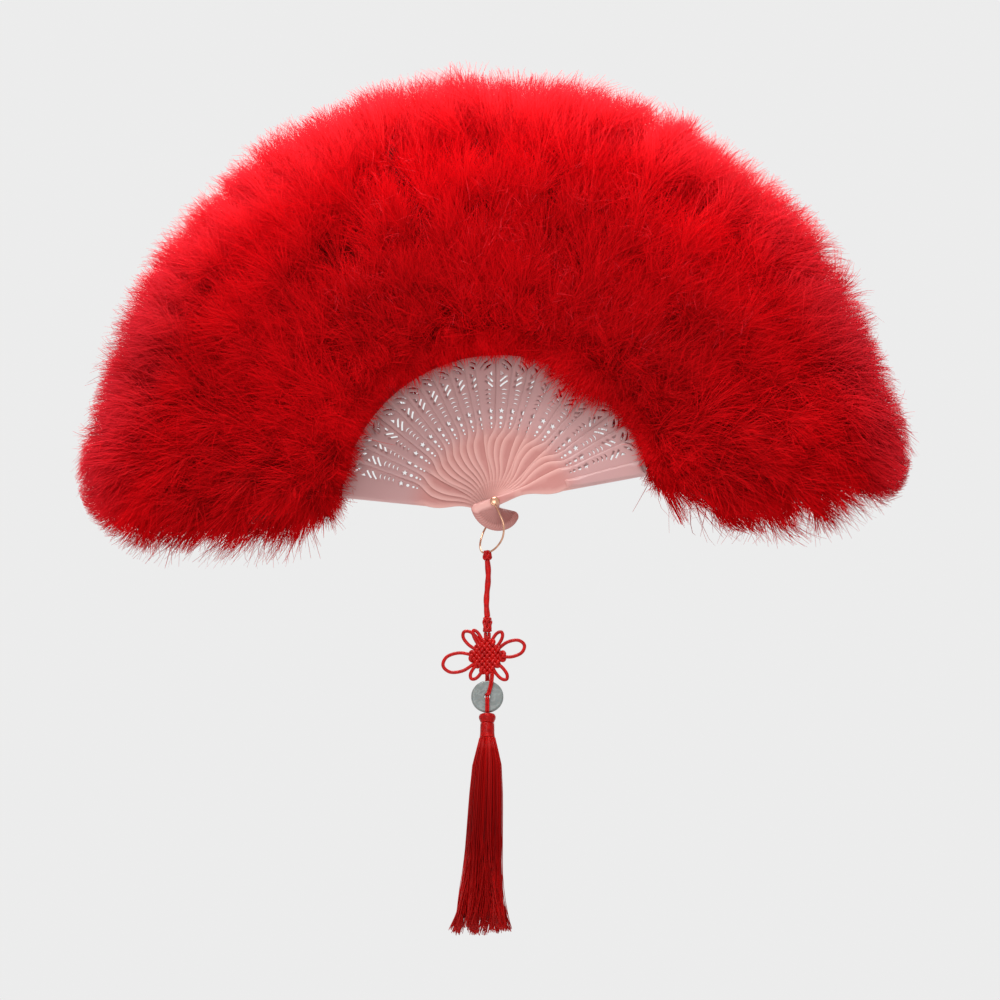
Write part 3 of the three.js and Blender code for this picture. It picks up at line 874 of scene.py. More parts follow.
def stripOutline():
    guard = guardShape
    slope = (guard["edgeHalf"] - guard["bulgeHalf"]) / (guard["bladeEnd"] - guard["bulgeAt"])
    low = -(guard["bulgeHalf"] + (guard["stripStart"] - guard["bulgeAt"]) * slope) + guard["stripInset"]
    high, end = -guard["edgeHalf"] + guard["stripInset"], guard["bladeEnd"] - guard["stripInset"]
    corners = [
        (low, guard["stripStart"]),
        (high, end),
        (high + guard["stripEndWidth"], end),
        (low + guard["stripStartWidth"], guard["stripStart"]),
    ]
    return roundedLoop(corners, guard["stripCorner"])


def lacePlace(along, across=0.0):
    lace = laceShape
    return np.array([across * lace["half"], lace["start"] + (lace["end"] - lace["start"]) * along])


# a crescent whose two edges bow to the left of the line from a to b
def bowRun(a, b, rise, band, count=9):
    ahead = unit(b - a)
    side = np.array([-ahead[1], ahead[0]])
    middle = (a + b) / 2
    outer = curveRun([a, middle + 2 * rise * side, b], count)
    inner = curveRun([b, middle + 2 * (rise - band) * side, a], count)
    return np.concatenate([outer, inner[1:-1]])


def circleRun(centre, radius, count=14):
    angles = np.linspace(0, 2 * math.pi, count, endpoint=False)
    return np.asarray(centre) + radius * np.stack([np.cos(angles), np.sin(angles)], axis=1)


def slotRun(low, high, count=7):
    side = unit(high - low)[::-1] * (-1, 1) * laceShape["slotWidth"] / 2
    bend = (low + high) / 2 + side * 2 * laceShape["slotBow"]
    upper = curveRun([low + side, bend + side, high + side], count)
    lower = curveRun([high - side, bend - side, low - side], count)
    return np.concatenate([upper, lower])


def laceHoles():
    lace = laceShape
    holes = [circleRun(lacePlace(share), radius) for share, radius in lace["dots"]]
    share, radius, inner = lace["star"]
    turns = np.arange(2 * lace["starTips"])
    angles = math.pi / 2 + turns * math.pi / lace["starTips"]
    radii = np.where(turns % 2, radius * inner, radius)
    holes.append(lacePlace(share) + radii[:, None] * np.stack([np.cos(angles), np.sin(angles)], axis=1))
    for share, half in lace["crescents"]:
        left = lacePlace(share, lace["crescentCentre"] - half)
        right = lacePlace(share, lace["crescentCentre"] + half)
        holes.append(bowRun(left, right, *lace["crescentBow"]))
    holes += [slotRun(lacePlace(*low), lacePlace(*high)) for low, high in lace["slots"]]
    holes.append(roundedLoop([lacePlace(*at) for at in lace["triangle"]], lace["triangleCorner"], count=4))
    for low, high, rise, band in (lace["wedge"], lace["arc"]):
        holes.append(bowRun(lacePlace(*low), lacePlace(*high), rise, band, count=11))
    holes.append(circleRun((0, 0), stickShape["holeRadius"], count=20))
    return holes


def insideOf(points, loop):
    x, z = points[:, 0:1], points[:, 1:2]
    a, b = loop, np.roll(loop, -1, axis=0)
    crosses = (a[:, 1] > z) != (b[:, 1] > z)
    with np.errstate(divide="ignore", invalid="ignore"):
        at = (b[:, 0] - a[:, 0]) * (z - a[:, 1]) / (b[:, 1] - a[:, 1]) + a[:, 0]
    return (np.count_nonzero(crosses & (x < at), axis=1) % 2) == 1


def distanceTo(points, loop):
    a, b = loop, np.roll(loop, -1, axis=0)
    along = b - a
    offset = points[:, None] - a[None]
    share = (offset * along).sum(-1) / np.maximum((along * along).sum(-1), tiny)
    gap = offset - np.clip(share, 0, 1)[..., None] * along
    return np.linalg.norm(gap, axis=-1).min(axis=1)


def nearestOf(points, loops):
    return np.min([distanceTo(points, loop) for loop in loops], axis=0)


def solidAt(points, outline, holes):
    solid = insideOf(points, outline)
    for loop in holes:
        solid &= ~insideOf(points, loop)
    return solid


# the points between a plate's edges
def platePoints(outline, holes, insets, grid):
    loops = [outline] + holes
    inner = []
    for loop in loops:
        ahead = unit(np.roll(loop, -1, axis=0) - np.roll(loop, 1, axis=0))
        normal = np.stack([-ahead[:, 1], ahead[:, 0]], axis=1)
        inner += [(loop + normal * sign * inset, inset) for inset in insets for sign in (-1, 1)]
    low, high = outline.min(0), outline.max(0)
    lines = np.meshgrid(np.arange(low[0], high[0], grid), np.arange(low[1], high[1], grid))
    inner.append((np.stack([line.ravel() for line in lines], axis=1), grid * plateShape["gridGap"]))
    kept = np.zeros((0, 2))
    for points, gap in inner:
        points = points[solidAt(points, outline, holes)]
        points = points[nearestOf(points, loops) > gap * plateShape["edgeGap"]]
        if len(kept) and len(points):
            apart = np.linalg.norm(points[:, None] - kept[None], axis=-1).min(axis=1)
            points = points[apart > gap * plateShape["pointGap"]]
        kept = np.concatenate([kept, points])
    return kept


# a plate's flat triangles
def plateTriangles(outline, holes, insets, grid):
    corners, edges = [], []
    for loop in [outline] + holes:
        first = len(corners)
        corners += [Vector(p) for p in loop.tolist()]
        edges += [(first + i, first + (i + 1) % len(loop)) for i in range(len(loop))]
    corners += [Vector(p) for p in platePoints(outline, holes, insets, grid).tolist()]
    places, _, triangles, *_ = delaunay_2d_cdt(corners, edges, [], 0, plateShape["weld"])
    places, triangles = np.array([tuple(p) for p in places]), np.array(triangles)
    return places, triangles[solidAt(places[triangles].mean(axis=1), outline, holes)]


# A plate with rounded edges: "rounds" gives the width and depth of the rounding at each point.
def plateBody(outline, holes, thick, rounds, insets, grid):
    places, triangles = plateTriangles(outline, holes, insets, grid)
    width, depth = rounds(places)
    edge = 1 - np.clip(distanceTo(places, outline) / width, 0, 1)
    drop = depth * edge ** stickShape["roundPower"]
    if holes:
        holeWidth, holeDepth = stickShape["holeRound"]
        holeEdge = 1 - np.clip(nearestOf(places, holes) / holeWidth, 0, 1)
        drop = np.maximum(drop, holeDepth * holeEdge)
    height = thick / 2 - drop
    front = np.stack([places[:, 0], -height, places[:, 1]], axis=1)
    back = np.stack([places[:, 0], height, places[:, 1]], axis=1)
    count = len(places)
    faces = [tuple(t) for t in triangles.tolist()]
    used = {(f[i], f[(i + 1) % 3]) for f in faces for i in range(3)}
    walls = [(b, a, a + count, b + count) for a, b in used if (b, a) not in used]
    faces += [(a + count, c + count, b + count) for a, b, c in triangles.tolist()] + sorted(walls)
    # the last value, 1 at the outline, sets where the plastic is painted lighter as a highlight
    return np.concatenate([front, back]), faces, np.tile(edge, 2)


def stickRounds(places):
    shape, along = stickShape, places[:, 1]
    (gorgeWidth, gorgeDepth), (width, depth) = shape["gorgeRound"], shape["bladeRound"]
    share = ramp(along, shape["backBulgeAt"], shape["backBulgeAt"] + shape["roundFade"])
    gorgeWidth = np.clip(np.abs(along) * shape["roundShare"], shape["tailRound"], gorgeWidth)
    return gorgeWidth + (width - gorgeWidth) * share, gorgeDepth + (depth - gorgeDepth) * share


def stickBody():
    insets, grid = plateShape["insets"], plateShape["grid"]
    return plateBody(stickOutline(), laceHoles(), stickShape["thick"], stickRounds, insets, grid)


def stripRounds(places):
    return plateShape["stripRound"]


def guardBody():
    guard, plate = guardShape, plateShape
    grid, height = plate["guardGrid"], guard["stripHeight"] + guard["stripSink"]
    board = plateBody(guardOutline(), laceHoles(), guard["thick"], stickRounds, plate["insets"], grid)
    points, faces, tones = plateBody(stripOutline(), [], height, stripRounds, plate["stripInsets"], grid)
    points[:, 1] += guard["thick"] / 2 + (guard["stripHeight"] - guard["stripSink"]) / 2
    return (*joined([board[:2], (points, faces)]), np.concatenate([board[2], tones]))


def addSticks():
    plain, guard = stickBody(), guardBody()
    for n in range(1, fanLayout["sticks"] + 1):
        points, faces, tones = guard if isGuard(n) else plain
        # painted light and shade on the tails: lighter in their middles and darker at their edges, as the
        # ridges' light and the shade between them
        tones = np.where(points[:, 2] < 0, (1 - tones) * stickShape["tailPaintedLight"], tones)
        points = points.copy()
        if n in stickShape["turned"]:
            points[:, :2] *= -1
        points[:, 1] += depthOf(n)
        piece = addPiece(f"{bodyOf(n)}_plate", toFan(n, points), faces, bodyOf(n), "gorge")
        # the "edge" values place the painted highlight along each plate's edges, and the painted light and
        # shade on its tail
        layer = piece.data.attributes.new("edge", "FLOAT", "POINT")
        layer.data.foreach_set("value", tones.astype(np.float32))
        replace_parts(piece, bodyOf(n))
    return len(plain[1]), len(guard[1])


print("sticks made:", addSticks(), "faces each")


# a body turned about z, laid over so that its axis points to the back
def layBack(points):
    return np.stack([points[:, 0], -points[:, 2], points[:, 1]], axis=1)


rivetShape = {
    "sides": 40,
    "radius": 1.25,
    "headRadius": 2.1,
    "headFace": 14.6,
    "headRim": 0.3,
    "headEdge": 0.1,
    "headTurn": (0.12, 1.5),  # radians, from the rim to near the top
    "headRings": 9,
    "tailTurn": (0, 1.5),
    "tailRings": 7,
    "burrThick": 0.8,
    "burrClear": 0.1,
    "burrRound": 0.2,
}


def addRivet():
    shape = rivetShape
    (_, front, _), (_, back, _) = boxOf("rivet")
    face, radius, head, edge = shape["headFace"], shape["radius"], shape["headRadius"], shape["headEdge"]
    rim, burr = face + shape["headRim"], face + shape["burrThick"]
    turns = np.linspace(*shape["headTurn"], shape["headRings"])
    dome = [(head * math.cos(a), rim + (-front - rim) * math.sin(a)) for a in turns]
    turns = np.linspace(*shape["tailTurn"], shape["tailRings"])[::-1]
    tail = [(radius * math.cos(a), -burr - (back - burr) * math.sin(a)) for a in turns]
    profile = [(0, -back)] + tail + [(radius, face), (head - edge, face), (head, face + edge)]
    points, faces = turnedBody(profile + dome + [(0, -front)], shape["sides"])
    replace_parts(addPiece("rivet_turned", layBack(points), faces, "front_guard", "gold"), "rivet")

    inner, edge = radius + shape["burrClear"], shape["burrRound"]
    profile = [
        (head - edge, -burr),
        (head, -burr + edge),
        (head, -face - edge),
        (head - edge, -face),
        (inner, -face),
        (inner, -burr),
    ]
    points, faces = turnedBody(profile, shape["sides"], closed=True)
    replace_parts(addPiece("burr_turned", layBack(points), faces, "front_guard", "gold"), "rivet_burr")


addRivet()

# the bail's places are across, to the front and down, as shares of its drop and of its eyes' places
bailShape = {
    "drop": 26,
    "wire": 0.55,
    "sides": 16,
    "eyeMiddle": 13.65,
    "eyeRadius": 2.05,
    "eyeSteps": 44,
    "frontShares": [(0.008, 1, 0.077), (0.098, 1.05, 0.268), (0.187, 1.03, 0.512), (0.165, 0.78, 0.76)],
    "underShares": [(0.025, 0.4, 0.935), (-0.155, 0, 1), (-0.275, -0.37, 0.93)],
    "backShares": [
        (-0.31, -0.77, 0.73),
        (-0.245, -1.04, 0.447),
        (-0.118, -1.04, 0.22),
        (-0.008, -1, 0.077),
    ],
    "hangShare": -0.155,
}
hangX = bailShape["drop"] * bailShape["hangShare"]


def addBail():
    shape = bailShape
    wire, sides = shape["wire"], shape["sides"]
    shares = np.array(shape["frontShares"] + shape["underShares"] + shape["backShares"], float)
    scales = np.array([shape["drop"], -shape["eyeMiddle"], -shape["drop"]])
    parts = [tubeBody(smoothRun(shares * scales, each=12), wire, sides)]
    eye = circleRun((0, 0), shape["eyeRadius"], shape["eyeSteps"])
    for middle in (-shape["eyeMiddle"], shape["eyeMiddle"]):
        ring = np.stack([eye[:, 0], np.full(len(eye), middle), eye[:, 1]], axis=1)
        parts.append(tubeBody(ring, wire, sides, closed=True))
    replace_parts(addPiece("bail_wire", *joined(parts), "bail", "gold"), "bail")


addBail()
print("rivet and bail made")

# the tape behind the feathers' roots, in one short arched length for each gap between two slats
ribbonShape = {
    "radius": 87.2,
    "width": 4.2,
    "thick": 0.3,
    "ahead": 1.2,
    "bow": 0.5,  # how far each length arches to the front
    "steps": 10,
    "seam": 0.35,
    "ridge": 0.08,  # how far the seams stand up
}


# the tape's section: the radius and height of its upper face, then of its lower one
def ribbonRows():
    shape = ribbonShape
    half, seam, ridge = shape["width"] / 2, shape["seam"], shape["ridge"]
    edge = [(-half, 0), (-half + seam, ridge), (-half + 2 * seam, 0)]
    edge += [(-across, height) for across, height in edge[::-1]]
    rows = [(shape["radius"] + across, height) for across, height in edge]
    return rows + [(radius, -height - shape["thick"]) for radius, height in rows[::-1]]


def addRibbon():
    shape, rows = ribbonShape, ribbonRows()
    t = np.linspace(0, 1, shape["steps"] + 1)
    for n in range(1, fanLayout["sticks"]):
        turn = angleOf(n) + (angleOf(n + 1) - angleOf(n)) * t
        deep = depthOf(n) + (depthOf(n + 1) - depthOf(n)) * t - shape["ahead"] - stickShape["thick"] / 2
        deep = deep - shape["thick"] - shape["bow"] * np.sin(math.pi * t) ** 2
        rings = [
            np.array([(radius * math.cos(a), y - lift, radius * math.sin(a)) for radius, lift in rows])
            for a, y in zip(turn, deep)
        ]
        name = f"ribbon_length_{n:02d}"
        piece = addPiece(name, *closedLoft(rings), bodyOf(n), "ribbon", smooth=False)
        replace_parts(piece, "spread_ribbon")


addRibbon()
print("ribbon threaded")

# Pendant, from the bail down: bead, cord, collar, knot, ring and tassel.
seatGap = 0.3
cordShape = {
    "radius": 1.65,
    "sway": 0.496,
    "points": 33,
    "finePoints": 99,
    "plies": 2,
    "lay": 17,  # the length over which a ply goes round once
    "lobeDepth": 0.12,
    "sides": 30,
}


def swayingRoute(low, high, count):
    share = np.linspace(0, 1, count)
    x = hangX + cordShape["sway"] * np.sin(2 * math.pi * share)
    return np.stack([x, np.zeros(count), high + (low - high) * share], axis=1)


coreEnd = 0.8  # height of a woven piece's core, as a share of half its own
beadShape = {
    "middle": 1.75,
    "half": 2.08,
    "reach": 0.95,
    "taper": 1.0,
    "lift": 0.36,
    "cord": 0.78,
    "leads": 3,
    "bights": 4,
    "core": 1.6,
}
collarShape = {
    "middle": 1.75,
    "half": 3.55,
    "reach": 1.05,
    "taper": 0.35,
    "lift": 0.4,
    "cord": 0.72,
    "leads": 5,
    "bights": 4,
    "core": 1.35,
}


def addWoven(name, node, body, shape):
    low, high = boxOf(node)
    half, end = shape["half"], shape["half"] * coreEnd
    core = [(0, -half), (shape["core"], -end), (shape["core"], end), (0, half)]
    points, faces = joined([turnedBody(core, sides=20), wovenSleeve(shape)])
    points = points + [hangX, 0, (low[2] + high[2]) / 2]
    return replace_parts(addPiece(name, points, faces, body, "cord"), node)


knotShape = {
    "half": 11.2,
    "halfHeight": 12.9,
    "rows": 7,
    "crossSteps": 5,
    "turnSteps": 9,
    "weaveShare": 0.9,
    "reachShare": 0.93,
    "lift": 1.15,
    "cord": 1.08,
    "earCord": 0.95,
    # tip across, tip up and half width of each ear, as shares of half
    "earShares": [
        (-2.08, -0.45, 0.48),
        (1.74, 0.54, 0.4),
        (-1.1, 1.16, 0.28),
        (-0.64, 1.24, 0.15),
        (0.66, 1.16, 0.2),
        (-0.74, -1.08, 0.22),
        (0.9, -1.1, 0.22),
    ],
    "turnShares": [
        (0.3, 0.4),
        (0.6, 0.93),
        (0.88, 0.86),
        (1.02, 0.3),
        (1.02, -0.3),
        (0.88, -0.86),
        (0.6, -0.93),
        (0.3, -0.4),
    ],
    "stubApart": 0.95,  # the two cords that run up from the weave into the collar
    "stubHeight": 4,
    "loopRise": 3,  # where the lower loop starts, above the weave's lower corner
}


# runs side by side with turns between them, over and under the runs that cross them
def weaveRoute(across):
    shape = knotShape
    rows, reach = shape["rows"], shape["reachShare"]
    turn = np.linspace(0, math.pi, shape["turnSteps"])[1:-1]
    route = []
    for row in range(rows):
        end = 1 if row % 2 == 0 else -1
        at = -1 + (2 * row + 1) / rows
        along = np.linspace(-reach, reach, rows * shape["crossSteps"] + 1) * end
        over = end * (-1 if across else 1) * shape["lift"]
        depth = over * np.cos(math.pi * ((along + 1) * rows / 2 - 0.5))
        route.append(np.stack([np.full_like(along, at), along, depth], axis=1))
        if row < rows - 1:
            ahead, out = at + (1 - np.cos(turn)) / rows, end * (reach + np.sin(turn) / rows)
            route.append(np.stack([ahead, out, depth[-1] * np.cos(turn)], axis=1))
    p, q, depth = np.concatenate(route).T
    if across:
        p, q = q, p
    scale = shape["weaveShare"] / 2
    return np.stack([(p - q) * shape["half"] * scale, depth, (p + q) * shape["halfHeight"] * scale], axis=1)


def earRoute(tipX, tipZ, width):
    shape = knotShape
    tip = np.array([tipX, 0, tipZ]) * shape["half"]
    side = unit(np.array([-tipZ, 0, tipX])) * width * shape["half"]
    return smoothRun([tip * out + side * across for out, across in shape["turnShares"]], each=6)


loopShape = {
    "cord": 0.6,
    "apart": 0.58,
    "out": 2.3,
    "bend": 1.0,
    "turnGap": 0.6,
    "side": 2.7,
    # shares of "side" and of "out", the share of the way from the turn to the end, and of "bend"
    "places": [
        (1, -1, 1, 0),
        (0.75, -1, 0.5, 0),
        (0.25, -1, 0, 1),
        (0, -0.9, 0, 0.4),
        (0, -0.5, 0, 0),
        (0, 0.5, 0, 0),
        (0, 0.9, 0, 0.4),
        (0, 1, 0, 1),
        (0, 1, 0.5, 0),
        (0, 1, 1, 0),
    ],
}


# A doubled cord that comes down from (or up from) its end, passes the ring's hole and goes back behind it.
def ringLoop(end, ringZ, direction, side):
    shape = loopShape
    turn = ringZ + direction * shape["turnGap"]
    bend = direction * shape["bend"]
    places = [
        (hangX + side * across, shape["out"] * out, turn + (end - turn) * up + bend * past)
        for across, out, up, past in shape["places"]
    ]
    route, apart = smoothRun(places, each=7), np.array([shape["apart"], 0, 0])
    return [tubeBody(route + shift, shape["cord"], sides=10) for shift in (-apart, apart)]


def addKnot(ringZ):
    shape = knotShape
    low, _ = boxOf("cord_collar")
    top = shape["halfHeight"]
    knotZ = low[2] - seatGap - top
    parts = [tubeBody(weaveRoute(across), shape["cord"], sides=10) for across in (False, True)]
    parts += [tubeBody(earRoute(*ear), shape["earCord"]) for ear in shape["earShares"]]
    for side in (-1, 1):
        start, end = (side * shape["stubApart"], 0, top - shape["stubHeight"]), (side, 0, top)
        parts.append(tubeBody(np.linspace(start, end, 9), shape["earCord"]))
    parts = [(points + [hangX, 0, knotZ], faces) for points, faces in parts]
    parts += ringLoop(knotZ - top + shape["loopRise"], ringZ, 1, loopShape["side"])
    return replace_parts(addPiece("mystic_weave", *joined(parts), "pendant", "cord"), "endless_knot")


ringShape = {
    "hole": 1.6,
    "holeRound": 0.5,
    "rimRound": 1.1,
    "crown": 0.12,
    "roundSteps": 7,
    "sides": 72,
}


def addRing():
    shape = ringShape
    low, high = boxOf("stone_ring")
    radius, half = (high[0] - low[0]) / 2, (high[1] - low[1]) / 2
    rim, hole = shape["rimRound"], shape["holeRound"]
    outer, inner = radius - rim, shape["hole"] + hole
    rise = half - shape["crown"] - hole
    # each rounding's first angle, centre and radius
    rounds = [
        (-90, outer, rim - half, rim),
        (0, outer, half - rim, rim),
        (90, inner, rise, hole),
        (180, inner, -rise, hole),
    ]
    profile = []
    for start, across, along, size in rounds:
        for a in np.radians(start + np.linspace(0, 90, shape["roundSteps"])):
            profile.append((across + size * math.cos(a), along + size * math.sin(a)))
    points, faces = turnedBody(profile, shape["sides"], closed=True)
    points = layBack(points) + (low + high) / 2
    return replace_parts(addPiece("ring_of_stone", points, faces, "ring", "stone"), "stone_ring")


capShape = {
    "thread": 0.3,
    "turns": 15,
    # radius and height from the top, as shares of the cap's own
    "profileShares": [
        (0.12, 0.04),
        (0.55, 0.06),
        (0.86, 0.14),
        (1, 0.36),
        (0.97, 0.58),
        (0.84, 0.8),
        (0.8, 0.96),
    ],
}
neckShape = {
    "thread": 0.21,
    "turns": 19,
    "profileShares": [(0.93, 0.02), (0.95, 0.3), (0.96, 0.7), (1, 0.9), (1.04, 0.99)],
    "stem": 0.45,  # how far the bound threads run on into the cap and the skirt
    "stemShare": 0.8,
}


def addWound(name, node, shape):
    low, high = boxOf(node)
    thread = shape["thread"]
    radius, height = (high[0] - low[0]) / 2 - thread, high[2] - low[2]
    profile = [(r * radius, high[2] - z * height) for r, z in shape["profileShares"]]
    core = [(r - thread / 2, z) for r, z in profile[::-1]]
    top, bottom = profile[0][1], profile[-1][1]
    if "stem" in shape:
        stem = radius * shape["stemShare"]
        bottom, top = bottom - shape["stem"], top + shape["stem"]
        core = [(stem, bottom)] + core + [(stem, top)]
    core = [(0, bottom)] + core + [(0, top)]
    points, faces = joined([turnedBody(core, sides=36), woundThread(profile, thread, shape["turns"])])
    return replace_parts(addPiece(name, points + [hangX, 0, 0], faces, "tassel", "cord"), node)


skirtShape = {
    "seed": 41,
    "threads": 680,
    "steps": 15,
    "thick": 0.34,
    "clumps": 30,
    "clumpTurn": 2.4,  # radians from one clump to the next, and how far they stray from it
    "clumpStray": 0.15,
    "clumpReach": (0.2, 1.0),
    "outerShare": 0.5,  # how many of the clumps hang at the outside
    "outerReach": 0.97,
    "turnStray": 0.34,
    "reach": (0.05, 1.0),
    "gather": (0.45, 1.0),  # shares of the length between which the threads part into clumps
    "gatherPower": 1.4,
    "gatherStray": (0.08, 0.05),  # round and out
    "lean": -4.6,  # how far the end hangs to one side
    "leanPower": 1.6,
    "wave": 0.3,
    "waveTurns": (5.5, 6.5),
    "frayFrom": 0.72,
    "fray": 0.8,
    "clumpFray": 2.0,
    "lengths": (0.975, 1.0),
    "shadeCoreShares": (0.84, 0.6),
    "coreEnd": 0.93,
    "shadeCoreSides": 24,
    "clumpTones": (0.05, 1.0),
    "alongTone": (0.2, 1.3),  # at the middle of the length, and its rise towards both ends
    # painted highlight: the share of threads lit up in the Tip colour as sheen on single silk threads, and
    # how much the rest get
    "highlightThreads": 0.16,
    "dullThreadHighlight": 0.1,
    # length and radius, from the top radius to the end's
    "outlineShares": [
        (0, 0),
        (0.05, 0.12),
        (0.14, 0.34),
        (0.3, 0.46),
        (0.5, 0.53),
        (0.7, 0.62),
        (0.84, 0.78),
        (1, 1),
    ],
    "topRadius": 4.4,
    "endRadius": 15,
}


# each thread's clump and route, from the skirt's top down
def skirtRoutes(t, outline, top, height, rng):
    look = skirtShape
    count, clumps = look["threads"], look["clumps"]
    clump = rng.integers(0, clumps, count)
    clumpAngle = np.arange(clumps) * look["clumpTurn"] + rng.normal(0, look["clumpStray"], clumps)
    clumpOut = np.sqrt(rng.uniform(*look["clumpReach"], clumps))
    clumpOut[rng.random(clumps) < look["outerShare"]] = look["outerReach"]
    angle = clumpAngle[clump] + rng.normal(0, look["turnStray"], count)
    out = np.sqrt(rng.uniform(*look["reach"], count))
    gather = ramp(t, *look["gather"])[None, :] ** look["gatherPower"]
    strayRound, strayOut = (rng.normal(0, spread, count) for spread in look["gatherStray"])
    near = angle[:, None] + (clumpAngle[clump] + strayRound - angle)[:, None] * gather
    far = out[:, None] + (clumpOut[clump] + strayOut - out)[:, None] * gather
    far = np.minimum(far, 1.0) * outline[None, :]
    phase = rng.uniform(0, 2 * math.pi, (2, clumps))[:, clump, None]
    stray = rng.normal(0, look["fray"], (2, count))
    stray = (stray + rng.normal(0, look["clumpFray"], (2, clumps))[:, clump])[..., None]
    fray = ramp(t, look["frayFrom"], 1) ** 2
    places = [far * np.cos(near), far * np.sin(near)]
    for k, turns in enumerate(look["waveTurns"]):
        places[k] = places[k] + look["wave"] * np.sin(phase[k] + turns * t) * gather + stray[k] * fray
    places[0] = places[0] + look["lean"] * t ** look["leanPower"]
    reach = rng.uniform(*look["lengths"], count)[:, None]
    return clump, np.stack([*places, top - height * t * reach], axis=-1)


# painted shade: a dark body inside the threads, standing for the shade inside the tassel
def skirtShadeCore(t, outline, top, height):
    look, sides = skirtShape, skirtShape["shadeCoreSides"]
    rings = []
    for radius, share in zip(outline * np.linspace(*look["shadeCoreShares"], len(t)), t * look["coreEnd"]):
        ring = circleRun((look["lean"] * share ** look["leanPower"], 0), radius, sides)
        rings.append(np.column_stack([ring, np.full(sides, top - height * share)]))
    return closedLoft(rings[::-1])


def skirtColors(t, clump, total, rng):
    look = skirtShape
    tone = rng.uniform(*look["clumpTones"], look["clumps"])
    # painted highlight: some threads are lighter towards their ends, for the sheen they catch
    light = np.where(rng.random(len(clump)) < look["highlightThreads"], 1.0, look["dullThreadHighlight"])
    each = len(t) * 4
    middleTone, rise = look["alongTone"]
    # the core's colours stay at nought, so it takes the Deep colour as painted shade
    colors = np.zeros((total, 4))
    threads = colors[:len(clump) * each]
    threads[:, 0] = np.tile(np.repeat(np.abs(t - 0.5), 4), len(clump)) * rise + middleTone
    threads[:, 1] = np.repeat(tone[clump], each)
    threads[:, 2] = np.repeat(light, each)
    threads[:, 3] = np.repeat(rng.random(len(clump)), each)
    return colors


def addSkirt():
    look = skirtShape
    rng = np.random.default_rng(look["seed"])
    low, high = boxOf("tassel_skirt")
    top, height = high[2], high[2] - low[2]
    t = np.linspace(0, 1, look["steps"])
    lengths, radii = np.array(look["outlineShares"]).T
    outline = look["topRadius"] + (look["endRadius"] - look["topRadius"]) * np.interp(t, lengths, radii)
    clump, routes = skirtRoutes(t, outline, top, height, rng)
    points, faces = threadTubes(routes, np.full(routes.shape[:2], look["thick"] / 2))
    points, faces = joined([(points, faces.tolist()), skirtShadeCore(t, outline, top, height)])
    skirt = addPiece("skirt_threads", points + [hangX, 0, 0], faces, "tassel", "silk")
    setStrandColors(skirt.data, skirtColors(t, clump, len(points), rng))
    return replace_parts(skirt, "tassel_skirt")


def addPendant():
    bead = addWoven("bead_knot", "cord_bead", "bead", beadShape)
    collar = addWoven("collar_braid", "cord_collar", "pendant", collarShape)
    ringBox = boxOf("stone_ring")
    ringZ = (ringBox[0][2] + ringBox[1][2]) / 2
    knot = addKnot(ringZ)
    ring = addRing()
    (_, _, top) = boxOf("tassel_cap")[1]
    loops = joined(ringLoop(top + seatGap, ringZ, -1, 0))
    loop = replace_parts(addPiece("tassel_loop_cords", *loops, "tassel", "cord"), "tassel_loop")
    cap = addWound("cap_wound", "tassel_cap", capShape)
    addWound("neck_wound", "tassel_neck", neckShape)
    addSkirt()

    shape = cordShape
    low, high = boxOf("hang_cord")
    fine = swayingRoute(low[2], high[2], shape["finePoints"])
    twist = shape["plies"] * 2 * math.pi / shape["lay"]
    twisted = tubeBody(fine, shape["radius"], shape["sides"], shape["plies"], shape["lobeDepth"], twist)
    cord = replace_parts(addPiece("cord_twisted", *twisted, "pendant", "cord"), "hang_cord")


addPendant()
print("pendant hung")


# Feathers. Each slat carries one plume: a core painted dark as the shade inside the plume, and barbs in
# tufts that lean outwards over it.
plumeShape = {
    "seed": 700,  # with the stick's number added
    "start": 88,
    "sideReach": 229,
    "topReach": 246,
    "halfDepth": 43,
    "stations": [0, 0.08, 0.2, 0.5, 0.8, 0.93, 1],
    "depths": [0.4, 0.62, 0.8, 1, 0.86, 0.6, 0.25],
    "lobeHalf": 74,
    "lobes": [0.3, 0.5, 0.74, 1, 0.85, 0.54, 0.2],
    # the core: a dark body put in as the shade deep inside the plume
    "shadeCoreShares": [0.05, 0.12, 0.3, 0.5, 0.64, 0.74, 0.8],
    "shadeCoreDepths": [0.45, 0.5, 0.56, 0.56, 0.5, 0.36, 0.2],
    "shadeCoreLobe": 0.8,  # width of a guard's core, as a share of its lobe, and its section's depths
    "shadeCoreSection": [0.3, 0.9, 1, 0.9, 0.3],
    "sectionPower": 2.6,
    "sectionLeast": 0.02,
    "sideLap": 1.5,  # each plume's tufts reach into its neighbours by this factor
    "squashKeep": 0.35,
}
